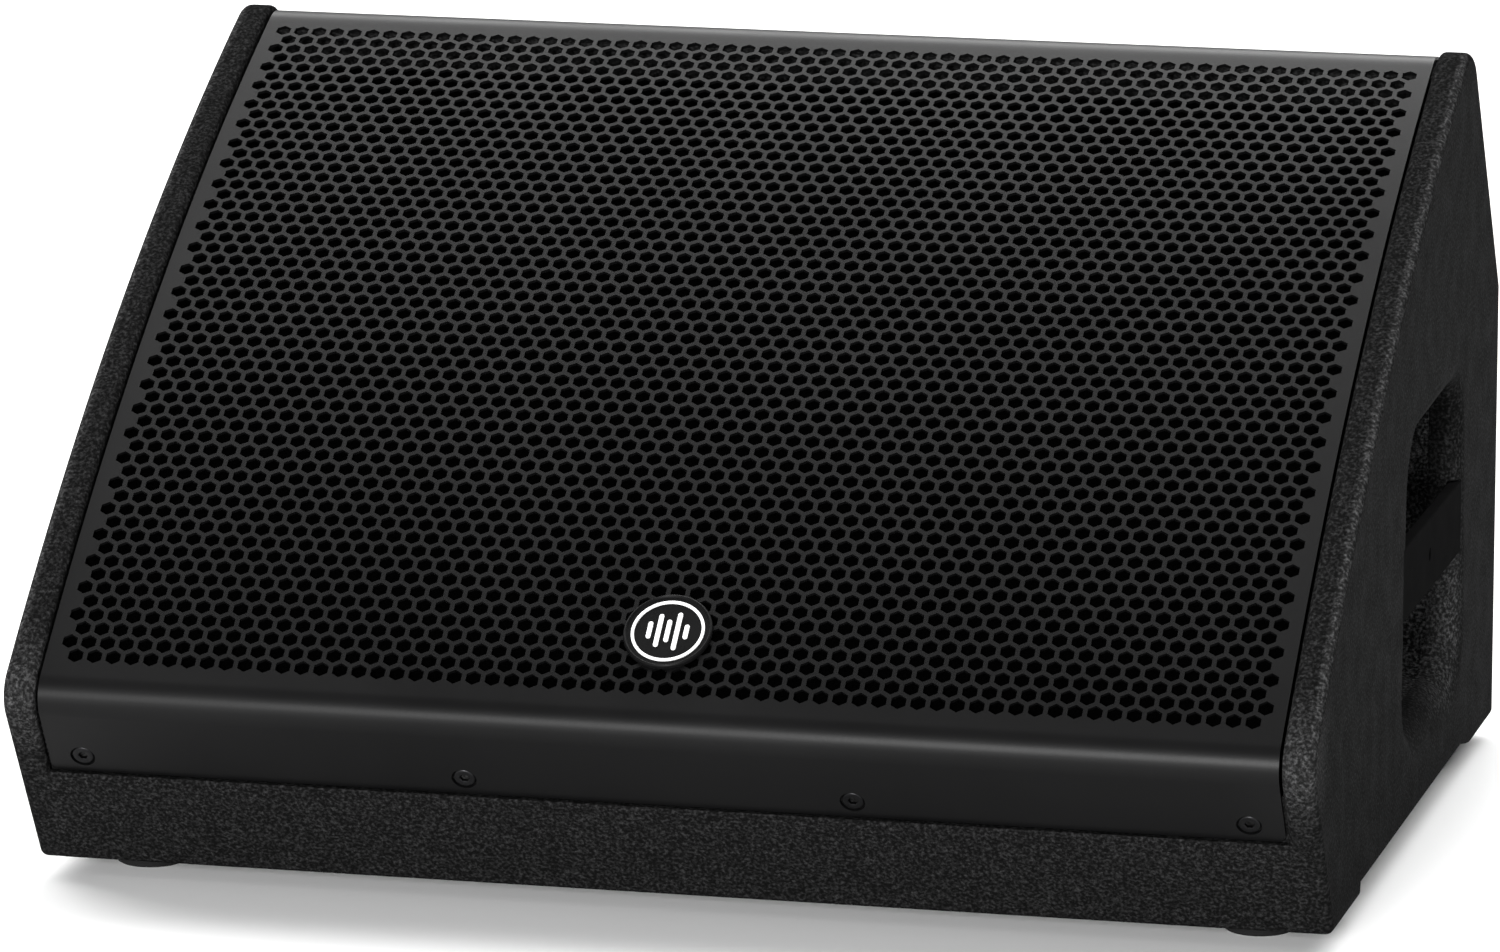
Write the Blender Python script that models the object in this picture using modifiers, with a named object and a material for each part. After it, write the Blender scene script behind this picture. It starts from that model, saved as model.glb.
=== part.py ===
"""Stage monitor wedge: a floor monitor with a curved perforated grille, side grab bars and a rear amplifier.

Frame: metres, +Z up, X across the width, the audience side faces -Y.
The origin is on the floor, under the middle of the cabinet's box.
"""

import math

import bmesh
import bpy
from mathutils import Matrix, Vector

# ---------------------------------------------------------------- driving dimensions, in metres
GAP = 0.0003                       # clearance kept between neighbouring pieces

WIDTH = 0.600                      # over the two side panels
PLY = 0.015                        # side panels and boards
BAFFLE_PLY = 0.018
FOOT_SHOW = 0.0095                 # how far the feet lift the side panels
REAR_Y = 0.2415                    # upright rear face
TOE_Y = -0.190                     # front end of the flat bottom edge
LOWER_FACE_LEAN = math.radians(32.6)      # lower front face, from upright
REAR_SLOPE = math.radians(57.0)    # slanted upper rear face, from level
REAR_TOP_Z = 0.2227                # where the upright rear face ends
ARC_CENTRE = (0.7127, -0.9481)     # centre of the curved front (y, z)
ARC_RADIUS = 1.4192                # side panels' curved front edge
NOSE_RADIUS = 0.017
APEX_RADIUS = 0.025
RELIEF_FRONT_Y = -0.119            # shallow relief along the side panels' bottom edge
RELIEF_REAR_Y = 0.155
RELIEF_RAMP = 0.024
RELIEF_RISE = 0.005

SHEET_RECESS = 0.0024              # the grille lies this far below the panels' edges
SHEET = 0.0015                     # grille steel
SHEET_SIDE_GAP = 0.0014
FLANGE_BOTTOM_Z = 0.0582           # lower edge of the grille's flange
SHEET_REAR_LAP = 0.030             # how far the grille runs down behind the apex
SHEET_BED = SHEET_RECESS + SHEET + 0.0006     # what lies under the grille starts this far below the edges
FOAM = 0.006
GRILLE_SCREW_X = (-0.2678, -0.0892, 0.0892, 0.2678)
GRILLE_SCREW_Z = 0.0660
BADGE_FROM_NOSE = 0.0542           # along the curve, from the nose to the badge's centre
BADGE_RADIUS = 0.0203

HANDLE_Y = 0.0600                  # centre of the grab pocket
HANDLE_Z = 0.1268
POCKET_HALF_Y = 0.0712
POCKET_HALF_Z = 0.0705
POCKET_CORNER = 0.020
POCKET_DEPTH = 0.055               # behind the side panel
BAR_LENGTH = 0.1585
BAR_HEIGHT = 0.034
BAR_THICK = 0.006
BAR_Z = 0.1297
BAR_HOLE_Y = 0.0535
BAR_HOLE_RADIUS = 0.0035
NOTCH_LENGTH = 0.1605

FOOT_RADIUS = 0.016
FOOT_X = 0.259
FOOT_FRONT_Y = -0.149
FOOT_REAR_Y = 0.200

BOARD_UNDERSIDE_Z = 0.015

DRIVER_RIM = 0.194                 # 15 inch coaxial driver
DRIVER_CUTOUT = 0.1765
DRIVER_SEGMENTS = 32
PORT_BORE = 0.032
PORT_WALL = 0.003
PORT_LENGTH = 0.068
PORT_X = 0.238
PORT_DOWN = 0.152                  # below the driver's centre, along the baffle

AMP_HALF_X = 0.165                 # amplifier plate
AMP_LOW_Z = 0.037
AMP_HIGH_Z = 0.199
AMP_PLATE = 0.003
WINDOW_HALF_X = 0.150              # opening in the rear board that shows the plate
WINDOW_LOW_Z = 0.050
WINDOW_HIGH_Z = 0.187
WINDOW_CORNER = 0.010

INNER_X = WIDTH / 2 - PLY
PLATE_FRONT_Y = REAR_Y - PLY - GAP            # amplifier plate's outer face
PLATE_BACK_Y = PLATE_FRONT_Y - AMP_PLATE      # its inner face

# ---------------------------------------------------------------- scene set-up
for old in list(bpy.data.objects):
    bpy.data.objects.remove(old, do_unlink=True)

PARTS = bpy.data.collections.new("stage_monitor_wedge")
CUTTERS = bpy.data.collections.new("cutters")
bpy.context.scene.collection.children.link(PARTS)
bpy.context.scene.collection.children.link(CUTTERS)


def make_material(name, colour, roughness, metallic=0.0):
    made = bpy.data.materials.new(name)
    made.use_nodes = True
    shader = made.node_tree.nodes["Principled BSDF"]
    shader.inputs["Base Color"].default_value = (*colour, 1.0)
    shader.inputs["Roughness"].default_value = roughness
    shader.inputs["Metallic"].default_value = metallic
    return made


FINISHES = {
    "paint": ((0.018, 0.018, 0.019), 0.75, 0.0),
    "steel_black": ((0.030, 0.030, 0.032), 0.45, 0.0),
    "bar_black": ((0.022, 0.022, 0.024), 0.40, 0.0),
    "screw_black": ((0.020, 0.020, 0.021), 0.35, 0.6),
    "foam": ((0.006, 0.006, 0.006), 0.95, 0.0),
    "rubber": ((0.012, 0.012, 0.012), 0.80, 0.0),
    "badge_black": ((0.010, 0.010, 0.010), 0.30, 0.0),
    "badge_white": ((0.80, 0.80, 0.80), 0.35, 0.0),
    "casting": ((0.25, 0.25, 0.26), 0.50, 0.8),
    "magnet": ((0.08, 0.08, 0.08), 0.60, 0.2),
    "zinc": ((0.55, 0.56, 0.58), 0.35, 1.0),
    "paper": ((0.030, 0.030, 0.032), 0.90, 0.0),
    "cloth": ((0.30, 0.22, 0.10), 0.90, 0.0),
    "plastic": ((0.015, 0.015, 0.016), 0.50, 0.0),
    "board_green": ((0.02, 0.12, 0.05), 0.50, 0.0),
    "lens": ((0.05, 0.60, 0.15), 0.20, 0.0),
}


def finish_for(piece, finish):
    """Give a piece its own material, from one of the finishes above."""
    colour, roughness, metallic = FINISHES[finish]
    piece.data.materials.clear()
    piece.data.materials.append(make_material(piece.name, colour, roughness, metallic))


# ---------------------------------------------------------------- outlines in the (y, z) plane
def along(point, direction, distance):
    return (point[0] + direction[0] * distance, point[1] + direction[1] * distance)


UP_LOWER = (-math.sin(LOWER_FACE_LEAN), math.cos(LOWER_FACE_LEAN))
IN_LOWER = (math.cos(LOWER_FACE_LEAN), math.sin(LOWER_FACE_LEAN))
UP_REAR = (-math.cos(REAR_SLOPE), math.sin(REAR_SLOPE))
IN_REAR = (-math.sin(REAR_SLOPE), -math.cos(REAR_SLOPE))


def lower_face(inset, distance=0.0):
    """Point on the lower front face, moved in by inset, at a distance up from the toe."""
    return along(along((TOE_Y, FOOT_SHOW), IN_LOWER, inset), UP_LOWER, distance)


def lower_face_at(inset, z):
    start = lower_face(inset)
    return along(start, UP_LOWER, (z - start[1]) / UP_LOWER[1])


def rear_face(inset, distance=0.0):
    """Point on the slanted rear face, moved in by inset, at a distance up from its lower end."""
    return along(along((REAR_Y, REAR_TOP_Z), IN_REAR, inset), UP_REAR, distance)


def meet_arc(start, direction, radius, nearest):
    """Where a line meets the curved front's circle; nearest picks the first or the last crossing."""
    dy = start[0] - ARC_CENTRE[0]
    dz = start[1] - ARC_CENTRE[1]
    half = dy * direction[0] + dz * direction[1]
    root = math.sqrt(half * half - (dy * dy + dz * dz - radius * radius))
    return along(start, direction, -half - root if nearest else -half + root)


def arc_angle(point):
    return math.atan2(point[1] - ARC_CENTRE[1], point[0] - ARC_CENTRE[0])


def arc_point(radius, angle):
    return (ARC_CENTRE[0] + radius * math.cos(angle), ARC_CENTRE[1] + radius * math.sin(angle))


def nose(inset):
    return meet_arc(lower_face(inset), UP_LOWER, ARC_RADIUS - inset, False)


def apex(inset):
    return meet_arc(rear_face(inset), UP_REAR, ARC_RADIUS - inset, False)


def rear_mitre():
    """Inner end of the joint between the upright and slanted rear boards, and its distance up the slant."""
    start = rear_face(PLY)
    distance = (start[0] - (REAR_Y - PLY)) / -UP_REAR[0]
    return along(start, UP_REAR, distance), distance


def rear_lap_end(inset, spare=0.0):
    """Point on the slanted rear face, moved in by inset, where the grille that wraps the apex ends."""
    length = (Vector(apex(0.0)) - Vector(rear_face(0.0))).length
    return rear_face(inset, length - SHEET_REAR_LAP - spare)


def arc_run(inset, start, end, steps):
    """Points strictly between two points of the curved front."""
    first = arc_angle(start)
    last = arc_angle(end)
    return [arc_point(ARC_RADIUS - inset, first + (last - first) * i / steps) for i in range(1, steps)]


def rounded(corners, steps=5):
    """Outline from (point, radius) corners, each radius turned into an arc of short chords."""
    outline = []
    count = len(corners)
    for i, (corner, radius) in enumerate(corners):
        if radius <= 0.0:
            outline.append(corner)
            continue
        before = Vector(corners[i - 1][0]) - Vector(corner)
        after = Vector(corners[(i + 1) % count][0]) - Vector(corner)
        before.normalize()
        after.normalize()
        half = before.angle(after) / 2
        reach = radius / math.tan(half)
        middle = Vector(corner) + (before + after).normalized() * (radius / math.sin(half))
        first = Vector(corner) + before * reach - middle
        last = Vector(corner) + after * reach - middle
        turn = first.angle_signed(last)
        for k in range(steps + 1):
            spoke = first.copy()
            spoke.rotate(Matrix.Rotation(-turn * k / steps, 2))
            outline.append(tuple(middle + spoke))
    return outline


def rounded_rectangle(centre, half_a, half_b, radius, steps=5):
    a, b = centre
    low, high = b - half_b, b + half_b
    corners = [(a - half_a, low), (a + half_a, low), (a + half_a, high), (a - half_a, high)]
    return rounded([(corner, radius) for corner in corners], steps)


# ---------------------------------------------------------------- building tools
YZ_PLANE = Matrix(((0, 0, 1, 0), (1, 0, 0, 0), (0, 1, 0, 0), (0, 0, 0, 1)))   # outline (y, z), thick along X
XZ_PLANE = Matrix(((1, 0, 0, 0), (0, 0, -1, 0), (0, 1, 0, 0), (0, 0, 0, 1)))  # outline (x, z), thick along Y
ZY_PLANE = Matrix(((0, 0, -1, 0), (0, 1, 0, 0), (1, 0, 0, 0), (0, 0, 0, 1)))  # outline (z, y), thick along X


def add_object(name, mesh, finish, collection=PARTS):
    piece = bpy.data.objects.new(name, mesh)
    collection.objects.link(piece)
    if finish:
        finish_for(piece, finish)
    else:
        piece.hide_render = True
        piece.display_type = "WIRE"
    return piece


def flat_plate(name, outlines, low, high, plane, finish):
    """Flat outline with optional holes, a filled 2D curve made into a mesh; low to high is its thickness."""
    curve = bpy.data.curves.new(name, "CURVE")
    curve.dimensions = "2D"
    curve.fill_mode = "BOTH"
    curve.extrude = (high - low) / 2
    for outline in outlines:
        spline = curve.splines.new("POLY")
        spline.points.add(len(outline) - 1)
        for point, place in zip(spline.points, outline):
            point.co = (place[0], place[1], 0.0, 1.0)
        spline.use_cyclic_u = True
    guide = bpy.data.objects.new(name + "_outline", curve)
    PARTS.objects.link(guide)
    bpy.context.view_layer.update()
    evaluated = guide.evaluated_get(bpy.context.evaluated_depsgraph_get())
    mesh = bpy.data.meshes.new_from_object(evaluated)
    bpy.data.objects.remove(guide, do_unlink=True)
    work = bmesh.new()
    work.from_mesh(mesh)
    bmesh.ops.remove_doubles(work, verts=work.verts, dist=1e-6)
    bmesh.ops.recalc_face_normals(work, faces=work.faces)
    work.to_mesh(mesh)
    work.free()
    mesh.name = name
    piece = add_object(name, mesh, finish, PARTS if finish else CUTTERS)
    middle = (low + high) / 2
    piece.matrix_world = plane_offset(plane, middle)
    return piece


def plane_offset(plane, middle):
    """Placement of a plate whose thickness is centred at middle along the plane's normal."""
    if plane is YZ_PLANE:
        return Matrix.Translation((middle, 0, 0)) @ plane
    if plane is XZ_PLANE:
        return Matrix.Translation((0, middle, 0)) @ plane
    return Matrix.Translation((0, 0, middle))


def box(name, low, high, finish, placement=None):
    work = bmesh.new()
    bmesh.ops.create_cube(work, size=1.0)
    size = [high[i] - low[i] for i in range(3)]
    middle = [(high[i] + low[i]) / 2 for i in range(3)]
    bmesh.ops.scale(work, vec=size, verts=work.verts)
    bmesh.ops.translate(work, vec=middle, verts=work.verts)
    return finish_mesh(name, work, finish, placement)


def cylinder(name, radius, low, high, finish, placement=None, segments=24, top_radius=None):
    """Round bar about the placement's Z axis, from low to high."""
    work = bmesh.new()
    top = radius if top_radius is None else top_radius
    depth = high - low
    bmesh.ops.create_cone(work, cap_ends=True, segments=segments, radius1=radius, radius2=top, depth=depth)
    bmesh.ops.translate(work, vec=(0, 0, (low + high) / 2), verts=work.verts)
    return finish_mesh(name, work, finish, placement)


def finish_mesh(name, work, finish, placement):
    mesh = bpy.data.meshes.new(name)
    work.to_mesh(mesh)
    work.free()
    piece = add_object(name, mesh, finish, PARTS if finish else CUTTERS)
    if placement is not None:
        piece.matrix_world = placement
    return piece


def turned(name, profile, finish, placement, segments=DRIVER_SEGMENTS, closed=True):
    """Turned piece about the placement's Z axis; the profile of (radius, z) runs down on the outside."""
    work = bmesh.new()
    points = [work.verts.new((radius, 0.0, z)) for radius, z in profile]
    for first, second in zip(points, points[1:]):
        work.edges.new((first, second))
    if closed:
        work.edges.new((points[-1], points[0]))
    piece = finish_mesh(name, work, finish, placement)
    screw = piece.modifiers.new("turn", "SCREW")
    screw.axis = "Z"
    screw.angle = math.tau
    screw.steps = segments
    screw.render_steps = segments
    screw.use_merge_vertices = True
    screw.merge_threshold = 0.00001
    screw.use_smooth_shade = True
    return piece


def bevel(piece, width, segments=1, angle=35.0):
    edge = piece.modifiers.new("edges", "BEVEL")
    edge.width = width
    edge.segments = segments
    edge.limit_method = "ANGLE"
    edge.angle_limit = math.radians(angle)
    return piece


def cut(piece, *cutters):
    for cutter in cutters:
        step = piece.modifiers.new("cut", "BOOLEAN")
        step.operation = "DIFFERENCE"
        step.object = cutter
    return piece


def join(piece, *additions):
    for addition in additions:
        step = piece.modifiers.new("join", "BOOLEAN")
        step.operation = "UNION"
        step.object = addition
    return piece


def at(x, y, z, turn_x=0.0):
    return Matrix.Translation((x, y, z)) @ Matrix.Rotation(turn_x, 4, "X")


FACING_REAR = -math.pi / 2         # turns a placement's +Z to point out of the rear face


# ---------------------------------------------------------------- cabinet
def panel_outline():
    relief = FOOT_SHOW + RELIEF_RISE
    tip = nose(0.0)
    top = apex(0.0)
    corners = [((TOE_Y, FOOT_SHOW), 0.004), (tip, NOSE_RADIUS)]
    corners += [(point, 0.0) for point in arc_run(0.0, tip, top, 14)]
    corners += [
        (top, APEX_RADIUS),
        ((REAR_Y, REAR_TOP_Z), 0.006),
        ((REAR_Y, FOOT_SHOW), 0.004),
        ((RELIEF_REAR_Y + RELIEF_RAMP, FOOT_SHOW), 0.0),
        ((RELIEF_REAR_Y, relief), 0.0),
        ((RELIEF_FRONT_Y, relief), 0.0),
        ((RELIEF_FRONT_Y - 0.0015, FOOT_SHOW), 0.0),
    ]
    return rounded(corners)


def side_panel(name, side):
    """Plywood side with the grab pocket's opening and the two notches that seat the bar."""
    opening = rounded_rectangle((HANDLE_Y, HANDLE_Z), POCKET_HALF_Y, POCKET_HALF_Z, POCKET_CORNER)
    outer = side * WIDTH / 2
    inner = side * INNER_X
    low, high = min(outer, inner), max(outer, inner)
    panel = flat_plate(name, [panel_outline(), opening], low, high, YZ_PLANE, "paint")
    bevel(panel, 0.0025, 2, 60.0)
    depth = BAR_THICK + 2 * GAP
    reach = 0.002
    near = side * (WIDTH / 2 - depth)
    far = side * (WIDTH / 2 + reach)
    notch = box(
        name + "_notch",
        (min(near, far), HANDLE_Y - NOTCH_LENGTH / 2, BAR_Z - BAR_HEIGHT / 2 - 0.001),
        (max(near, far), HANDLE_Y + NOTCH_LENGTH / 2, BAR_Z + BAR_HEIGHT / 2 + 0.001),
        None,
    )
    return cut(panel, notch)


def grab_pocket(name, side):
    """Moulded cup behind the side panel's opening: a flange, sloping walls and a flat floor."""
    mouth = side * (INNER_X - GAP)
    rings = [
        (0.0, 0.010, 0.028),
        (0.0, 0.0015, 0.0215),
        (0.004, 0.000, 0.022),
        (0.024, -0.007, 0.026),
        (0.044, -0.018, 0.024),
        (0.055, -0.034, 0.016),
    ]
    work = bmesh.new()
    loops = []
    for depth, grow, radius in rings:
        half_y, half_z = POCKET_HALF_Y + grow, POCKET_HALF_Z + grow
        outline = rounded_rectangle((HANDLE_Y, HANDLE_Z), half_y, half_z, radius, 3)
        loops.append([work.verts.new((mouth - side * depth, y, z)) for y, z in outline])
    for outer, inner in zip(loops, loops[1:]):
        for i in range(len(outer)):
            j = (i + 1) % len(outer)
            work.faces.new((outer[i], outer[j], inner[j], inner[i]))
    work.faces.new(loops[-1])
    bmesh.ops.recalc_face_normals(work, faces=work.faces)
    floor = max(work.faces, key=lambda face: len(face.verts))
    if floor.normal.x * side < 0:
        bmesh.ops.reverse_faces(work, faces=work.faces)
    cup = finish_mesh(name, work, "paint", None)
    wall = cup.modifiers.new("wall", "SOLIDIFY")
    wall.thickness = 0.0025
    wall.offset = -1.0
    return cup


def grab_bar(name, side):
    """Flat steel bar, flush with the side panel, with a threaded hole near its middle."""
    outer = side * (WIDTH / 2 - GAP)
    inner = side * (WIDTH / 2 - GAP - BAR_THICK)
    bar = box(
        name,
        (min(outer, inner), HANDLE_Y - BAR_LENGTH / 2, BAR_Z - BAR_HEIGHT / 2),
        (max(outer, inner), HANDLE_Y + BAR_LENGTH / 2, BAR_Z + BAR_HEIGHT / 2),
        "bar_black",
    )
    bevel(bar, 0.0012, 1)
    across = Matrix.Translation((0, BAR_HOLE_Y, BAR_Z)) @ Matrix.Rotation(math.pi / 2, 4, "Y")
    hole = cylinder(name + "_hole", BAR_HOLE_RADIUS, -WIDTH, WIDTH, None, across, 16)
    return cut(bar, hole)


def shell_line(inset, start_z, steps=14):
    """Line followed by the grille: up the lower face, round the nose, along the curve and over the apex."""
    tip = nose(inset)
    top = apex(inset)
    corners = [(lower_face_at(inset, start_z), 0.0), (tip, NOSE_RADIUS - inset)]
    corners += [(point, 0.0) for point in arc_run(inset, tip, top, steps)]
    corners += [(top, APEX_RADIUS - inset), (rear_lap_end(inset), 0.0)]
    return rounded(corners)


def board(name, outline, finish="paint"):
    return flat_plate(name, [outline], -INNER_X + GAP, INNER_X - GAP, YZ_PLANE, finish)


def kick_board():
    """Lower front board: flush below the grille's flange, rebated behind it."""
    step_z = FLANGE_BOTTOM_Z - 0.001
    top_z = 0.082
    outline = [
        lower_face(0.0),
        lower_face_at(0.0, step_z),
        lower_face_at(SHEET_BED, step_z + 0.0005),
        lower_face_at(SHEET_BED, top_z),
        lower_face_at(PLY + SHEET_BED, top_z),
        lower_face_at(PLY + SHEET_BED, FOOT_SHOW),
    ]
    piece = board("kick_board", outline)
    for x in GRILLE_SCREW_X:
        place = screw_place(x)
        piece = cut(piece, cylinder("kick_pilot", 0.0028, -0.040, 0.010, None, place, 12))
        sink = cylinder("kick_sink", 0.0030, -0.0042, 0.0010, None, place, 16, 0.0068)
        piece = cut(piece, sink)
    return piece


def screw_place(x):
    """Placement on the grille's flange at width x, +Z pointing out of the lower front face."""
    y, z = lower_face_at(SHEET_RECESS, GRILLE_SCREW_Z)
    turn = math.pi / 2 + LOWER_FACE_LEAN
    return at(x, y, z, turn)


BAFFLE_INSET = 0.018
BAFFLE_LOW = meet_arc(lower_face(0.0215), UP_LOWER, ARC_RADIUS - BAFFLE_INSET, False)
BAFFLE_HIGH = meet_arc(rear_face(0.040), UP_REAR, ARC_RADIUS - BAFFLE_INSET, False)
BAFFLE_TILT = math.atan2(BAFFLE_HIGH[1] - BAFFLE_LOW[1], BAFFLE_HIGH[0] - BAFFLE_LOW[0])
UP_BAFFLE = (math.cos(BAFFLE_TILT), math.sin(BAFFLE_TILT))
IN_BAFFLE = (math.sin(BAFFLE_TILT), -math.cos(BAFFLE_TILT))
DRIVER_YZ = ((BAFFLE_LOW[0] + BAFFLE_HIGH[0]) / 2, (BAFFLE_LOW[1] + BAFFLE_HIGH[1]) / 2)
DRIVER = at(0.0, DRIVER_YZ[0], DRIVER_YZ[1], BAFFLE_TILT)
SCREW_RING = 0.1855
SCREW_ANGLES = (45.0, 135.0, 225.0, 315.0)


def port_place(side):
    return DRIVER @ Matrix.Translation((side * PORT_X, -PORT_DOWN, 0.0))


def ring_place(degrees):
    """Placement on the driver's screw ring, +Z along the driver's axis."""
    turn = math.radians(degrees)
    return DRIVER @ Matrix.Translation((SCREW_RING * math.cos(turn), SCREW_RING * math.sin(turn), 0.0))


def baffle_board():
    outline = [
        BAFFLE_LOW,
        BAFFLE_HIGH,
        along(BAFFLE_HIGH, IN_BAFFLE, BAFFLE_PLY),
        along(BAFFLE_LOW, IN_BAFFLE, BAFFLE_PLY),
    ]
    piece = board("baffle_board", outline)
    cut(piece, cylinder("baffle_cutout", DRIVER_CUTOUT, -0.05, 0.05, None, DRIVER, 48))
    for side in (-1, 1):
        radius = PORT_BORE + PORT_WALL + GAP
        cut(piece, cylinder("port_cutout", radius, -0.05, 0.05, None, port_place(side), 24))
    for degrees in SCREW_ANGLES:
        cut(piece, cylinder("driver_pilot", 0.0029, -0.05, 0.05, None, ring_place(degrees), 8))
    return piece


def bottom_board():
    behind_kick_board = PLY + SHEET_BED + GAP
    front = lower_face_at(behind_kick_board, BOARD_UNDERSIDE_Z)
    top_z = BOARD_UNDERSIDE_Z + PLY
    front_top = lower_face_at(behind_kick_board, top_z)
    rear = REAR_Y - PLY - GAP
    piece = board("bottom_board", [front, (rear, BOARD_UNDERSIDE_Z), (rear, top_z), front_top])
    for x, y in foot_places():
        cut(piece, cylinder("foot_pilot", 0.0023, 0.0, 0.05, None, at(x, y, 0.0), 8))
    return piece


def foot_places():
    return [(x, y) for y in (FOOT_FRONT_Y, FOOT_REAR_Y) for x in (-FOOT_X, FOOT_X)]


def rear_board():
    """Upright rear board with the window that shows the amplifier plate."""
    outer = REAR_Y
    inner = REAR_Y - PLY
    mitre = rear_mitre()[0]
    outline = [(inner, FOOT_SHOW), (outer, FOOT_SHOW), (outer, REAR_TOP_Z - GAP), (inner, mitre[1] - GAP)]
    piece = board("rear_board", outline)
    middle_z = (WINDOW_LOW_Z + WINDOW_HIGH_Z) / 2
    half_z = (WINDOW_HIGH_Z - WINDOW_LOW_Z) / 2
    window = rounded_rectangle((0.0, middle_z), WINDOW_HALF_X, half_z, WINDOW_CORNER, 4)
    cutter = flat_plate("rear_window", [window], inner - 0.01, outer + 0.01, XZ_PLANE, None)
    return cut(piece, cutter)


def rear_slope_board():
    start = rear_face(0.0, GAP)
    step = rear_lap_end(0.0, 0.002)
    step_in = rear_lap_end(SHEET_BED, 0.002)
    end = along(step_in, UP_REAR, 0.006)
    inner_start = rear_face(PLY, rear_mitre()[1] + GAP)
    outline = [start, step, step_in, end, along(end, IN_REAR, PLY - SHEET_BED), inner_start]
    return board("rear_slope_board", outline)


def top_rail():
    """Wooden rail under the apex: the grille wraps over it and the baffle ends against it."""
    top = apex(SHEET_BED)
    rear_end = along(top, UP_REAR, -0.020)
    front_end = arc_run(SHEET_BED, BAFFLE_HIGH, top, 4)[0]
    corner = along(rear_end, IN_REAR, 0.030)
    outline = rounded([(front_end, 0.0), (top, APEX_RADIUS - SHEET_BED), (rear_end, 0.0), (corner, 0.0)])
    return board("top_rail", outline, "paint")


# ---------------------------------------------------------------- grille
def grille():
    """Folded steel sheet, as a plain curved plate with the four flange screw holes."""
    inset = SHEET_RECESS
    outline = shell_line(inset, FLANGE_BOTTOM_Z)
    half = INNER_X - SHEET_SIDE_GAP
    work = bmesh.new()
    left = [work.verts.new((-half, y, z)) for y, z in outline]
    right = [work.verts.new((half, y, z)) for y, z in outline]
    for i in range(len(outline) - 1):
        work.faces.new((left[i], right[i], right[i + 1], left[i + 1]))
    piece = finish_mesh("grille", work, "steel_black", None)
    sheet = piece.modifiers.new("sheet", "SOLIDIFY")
    sheet.thickness = SHEET
    sheet.offset = -1.0
    sheet.use_even_offset = True
    for x in GRILLE_SCREW_X:
        cut(piece, cylinder("flange_hole", 0.0054, -0.010, 0.010, None, screw_place(x), 16))
    return piece


def grille_foam():
    first = meet_arc(lower_face(0.0215), UP_LOWER, ARC_RADIUS - SHEET_BED, False)
    last = meet_arc(rear_face(0.055), UP_REAR, ARC_RADIUS - SHEET_BED, False)
    outer = [first] + arc_run(SHEET_BED, first, last, 12) + [last]
    centre = Vector(ARC_CENTRE)
    inner = []
    for point in reversed(outer):
        spoke = Vector(point) - centre
        inner.append(tuple(centre + spoke * (1 - FOAM / spoke.length)))
    return board("grille_foam", outer + inner, "foam")


def flat_head_screw(name, place, head, shank, length, key, finish):
    """Countersunk hex-socket screw; its head's face is at the placement's origin."""
    cone = head - shank
    neck = -cone - 0.0007
    profile = [(0.0, -GAP), (head, -GAP), (head, -0.0007), (shank, neck), (shank, -length), (0.0, -length)]
    screw = turned(name, profile, finish, place, 16, False)
    socket = cylinder(name + "_key", key, -0.0025, 0.002, None, place, 6)
    return cut(screw, socket)


def badge():
    """Round badge clipped to the sheet: a black cup and a pale plain face."""
    inset = SHEET_RECESS
    start = arc_angle(nose(inset))
    radius = ARC_RADIUS - inset
    angle = start - BADGE_FROM_NOSE / radius
    y, z = arc_point(radius, angle)
    place = at(0.0, y, z, angle - math.pi / 2)
    base = [
        (0.0, 0.0010),
        (0.0188, 0.0010),
        (0.0188, 0.0024),
        (BADGE_RADIUS - 0.0006, 0.0024),
        (BADGE_RADIUS, 0.0018),
        (BADGE_RADIUS, GAP),
        (0.0, GAP),
    ]
    turned("badge_base", base, "badge_black", place, 32, False)
    face = [(0.0, 0.0022), (0.0178, 0.0022), (0.0184, 0.0018), (0.0184, 0.0013), (0.0, 0.0013)]
    turned("badge_face", face, "badge_white", place, 32, False)


# ---------------------------------------------------------------- feet
def foot(name, x, y):
    """Rubber foot with a screw recess, sitting against the bottom board."""
    top = BOARD_UNDERSIDE_Z - GAP
    profile = [
        (0.0027, top),
        (FOOT_RADIUS + 0.001, top),
        (FOOT_RADIUS + 0.001, 0.0060),
        (FOOT_RADIUS - 0.0012, 0.0018),
        (FOOT_RADIUS - 0.0040, 0.0),
        (0.0066, 0.0),
        (0.0066, 0.0080),
        (0.0027, 0.0080),
    ]
    turned(name, profile, "rubber", at(x, y, 0.0), 24)


def foot_screw(name, x, y):
    profile = [
        (0.0, 0.0280),
        (0.0021, 0.0280),
        (0.0021, 0.0077),
        (0.0048, 0.0077),
        (0.0040, 0.0048),
        (0.0, 0.0045),
    ]
    screw = turned(name, profile, "zinc", at(x, y, 0.0), 16, False)
    slot_a = box(name + "_slot_a", (-0.0022, -0.0005, 0.003), (0.0022, 0.0005, 0.0062), None, at(x, y, 0.0))
    cut(screw, slot_a)


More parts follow.
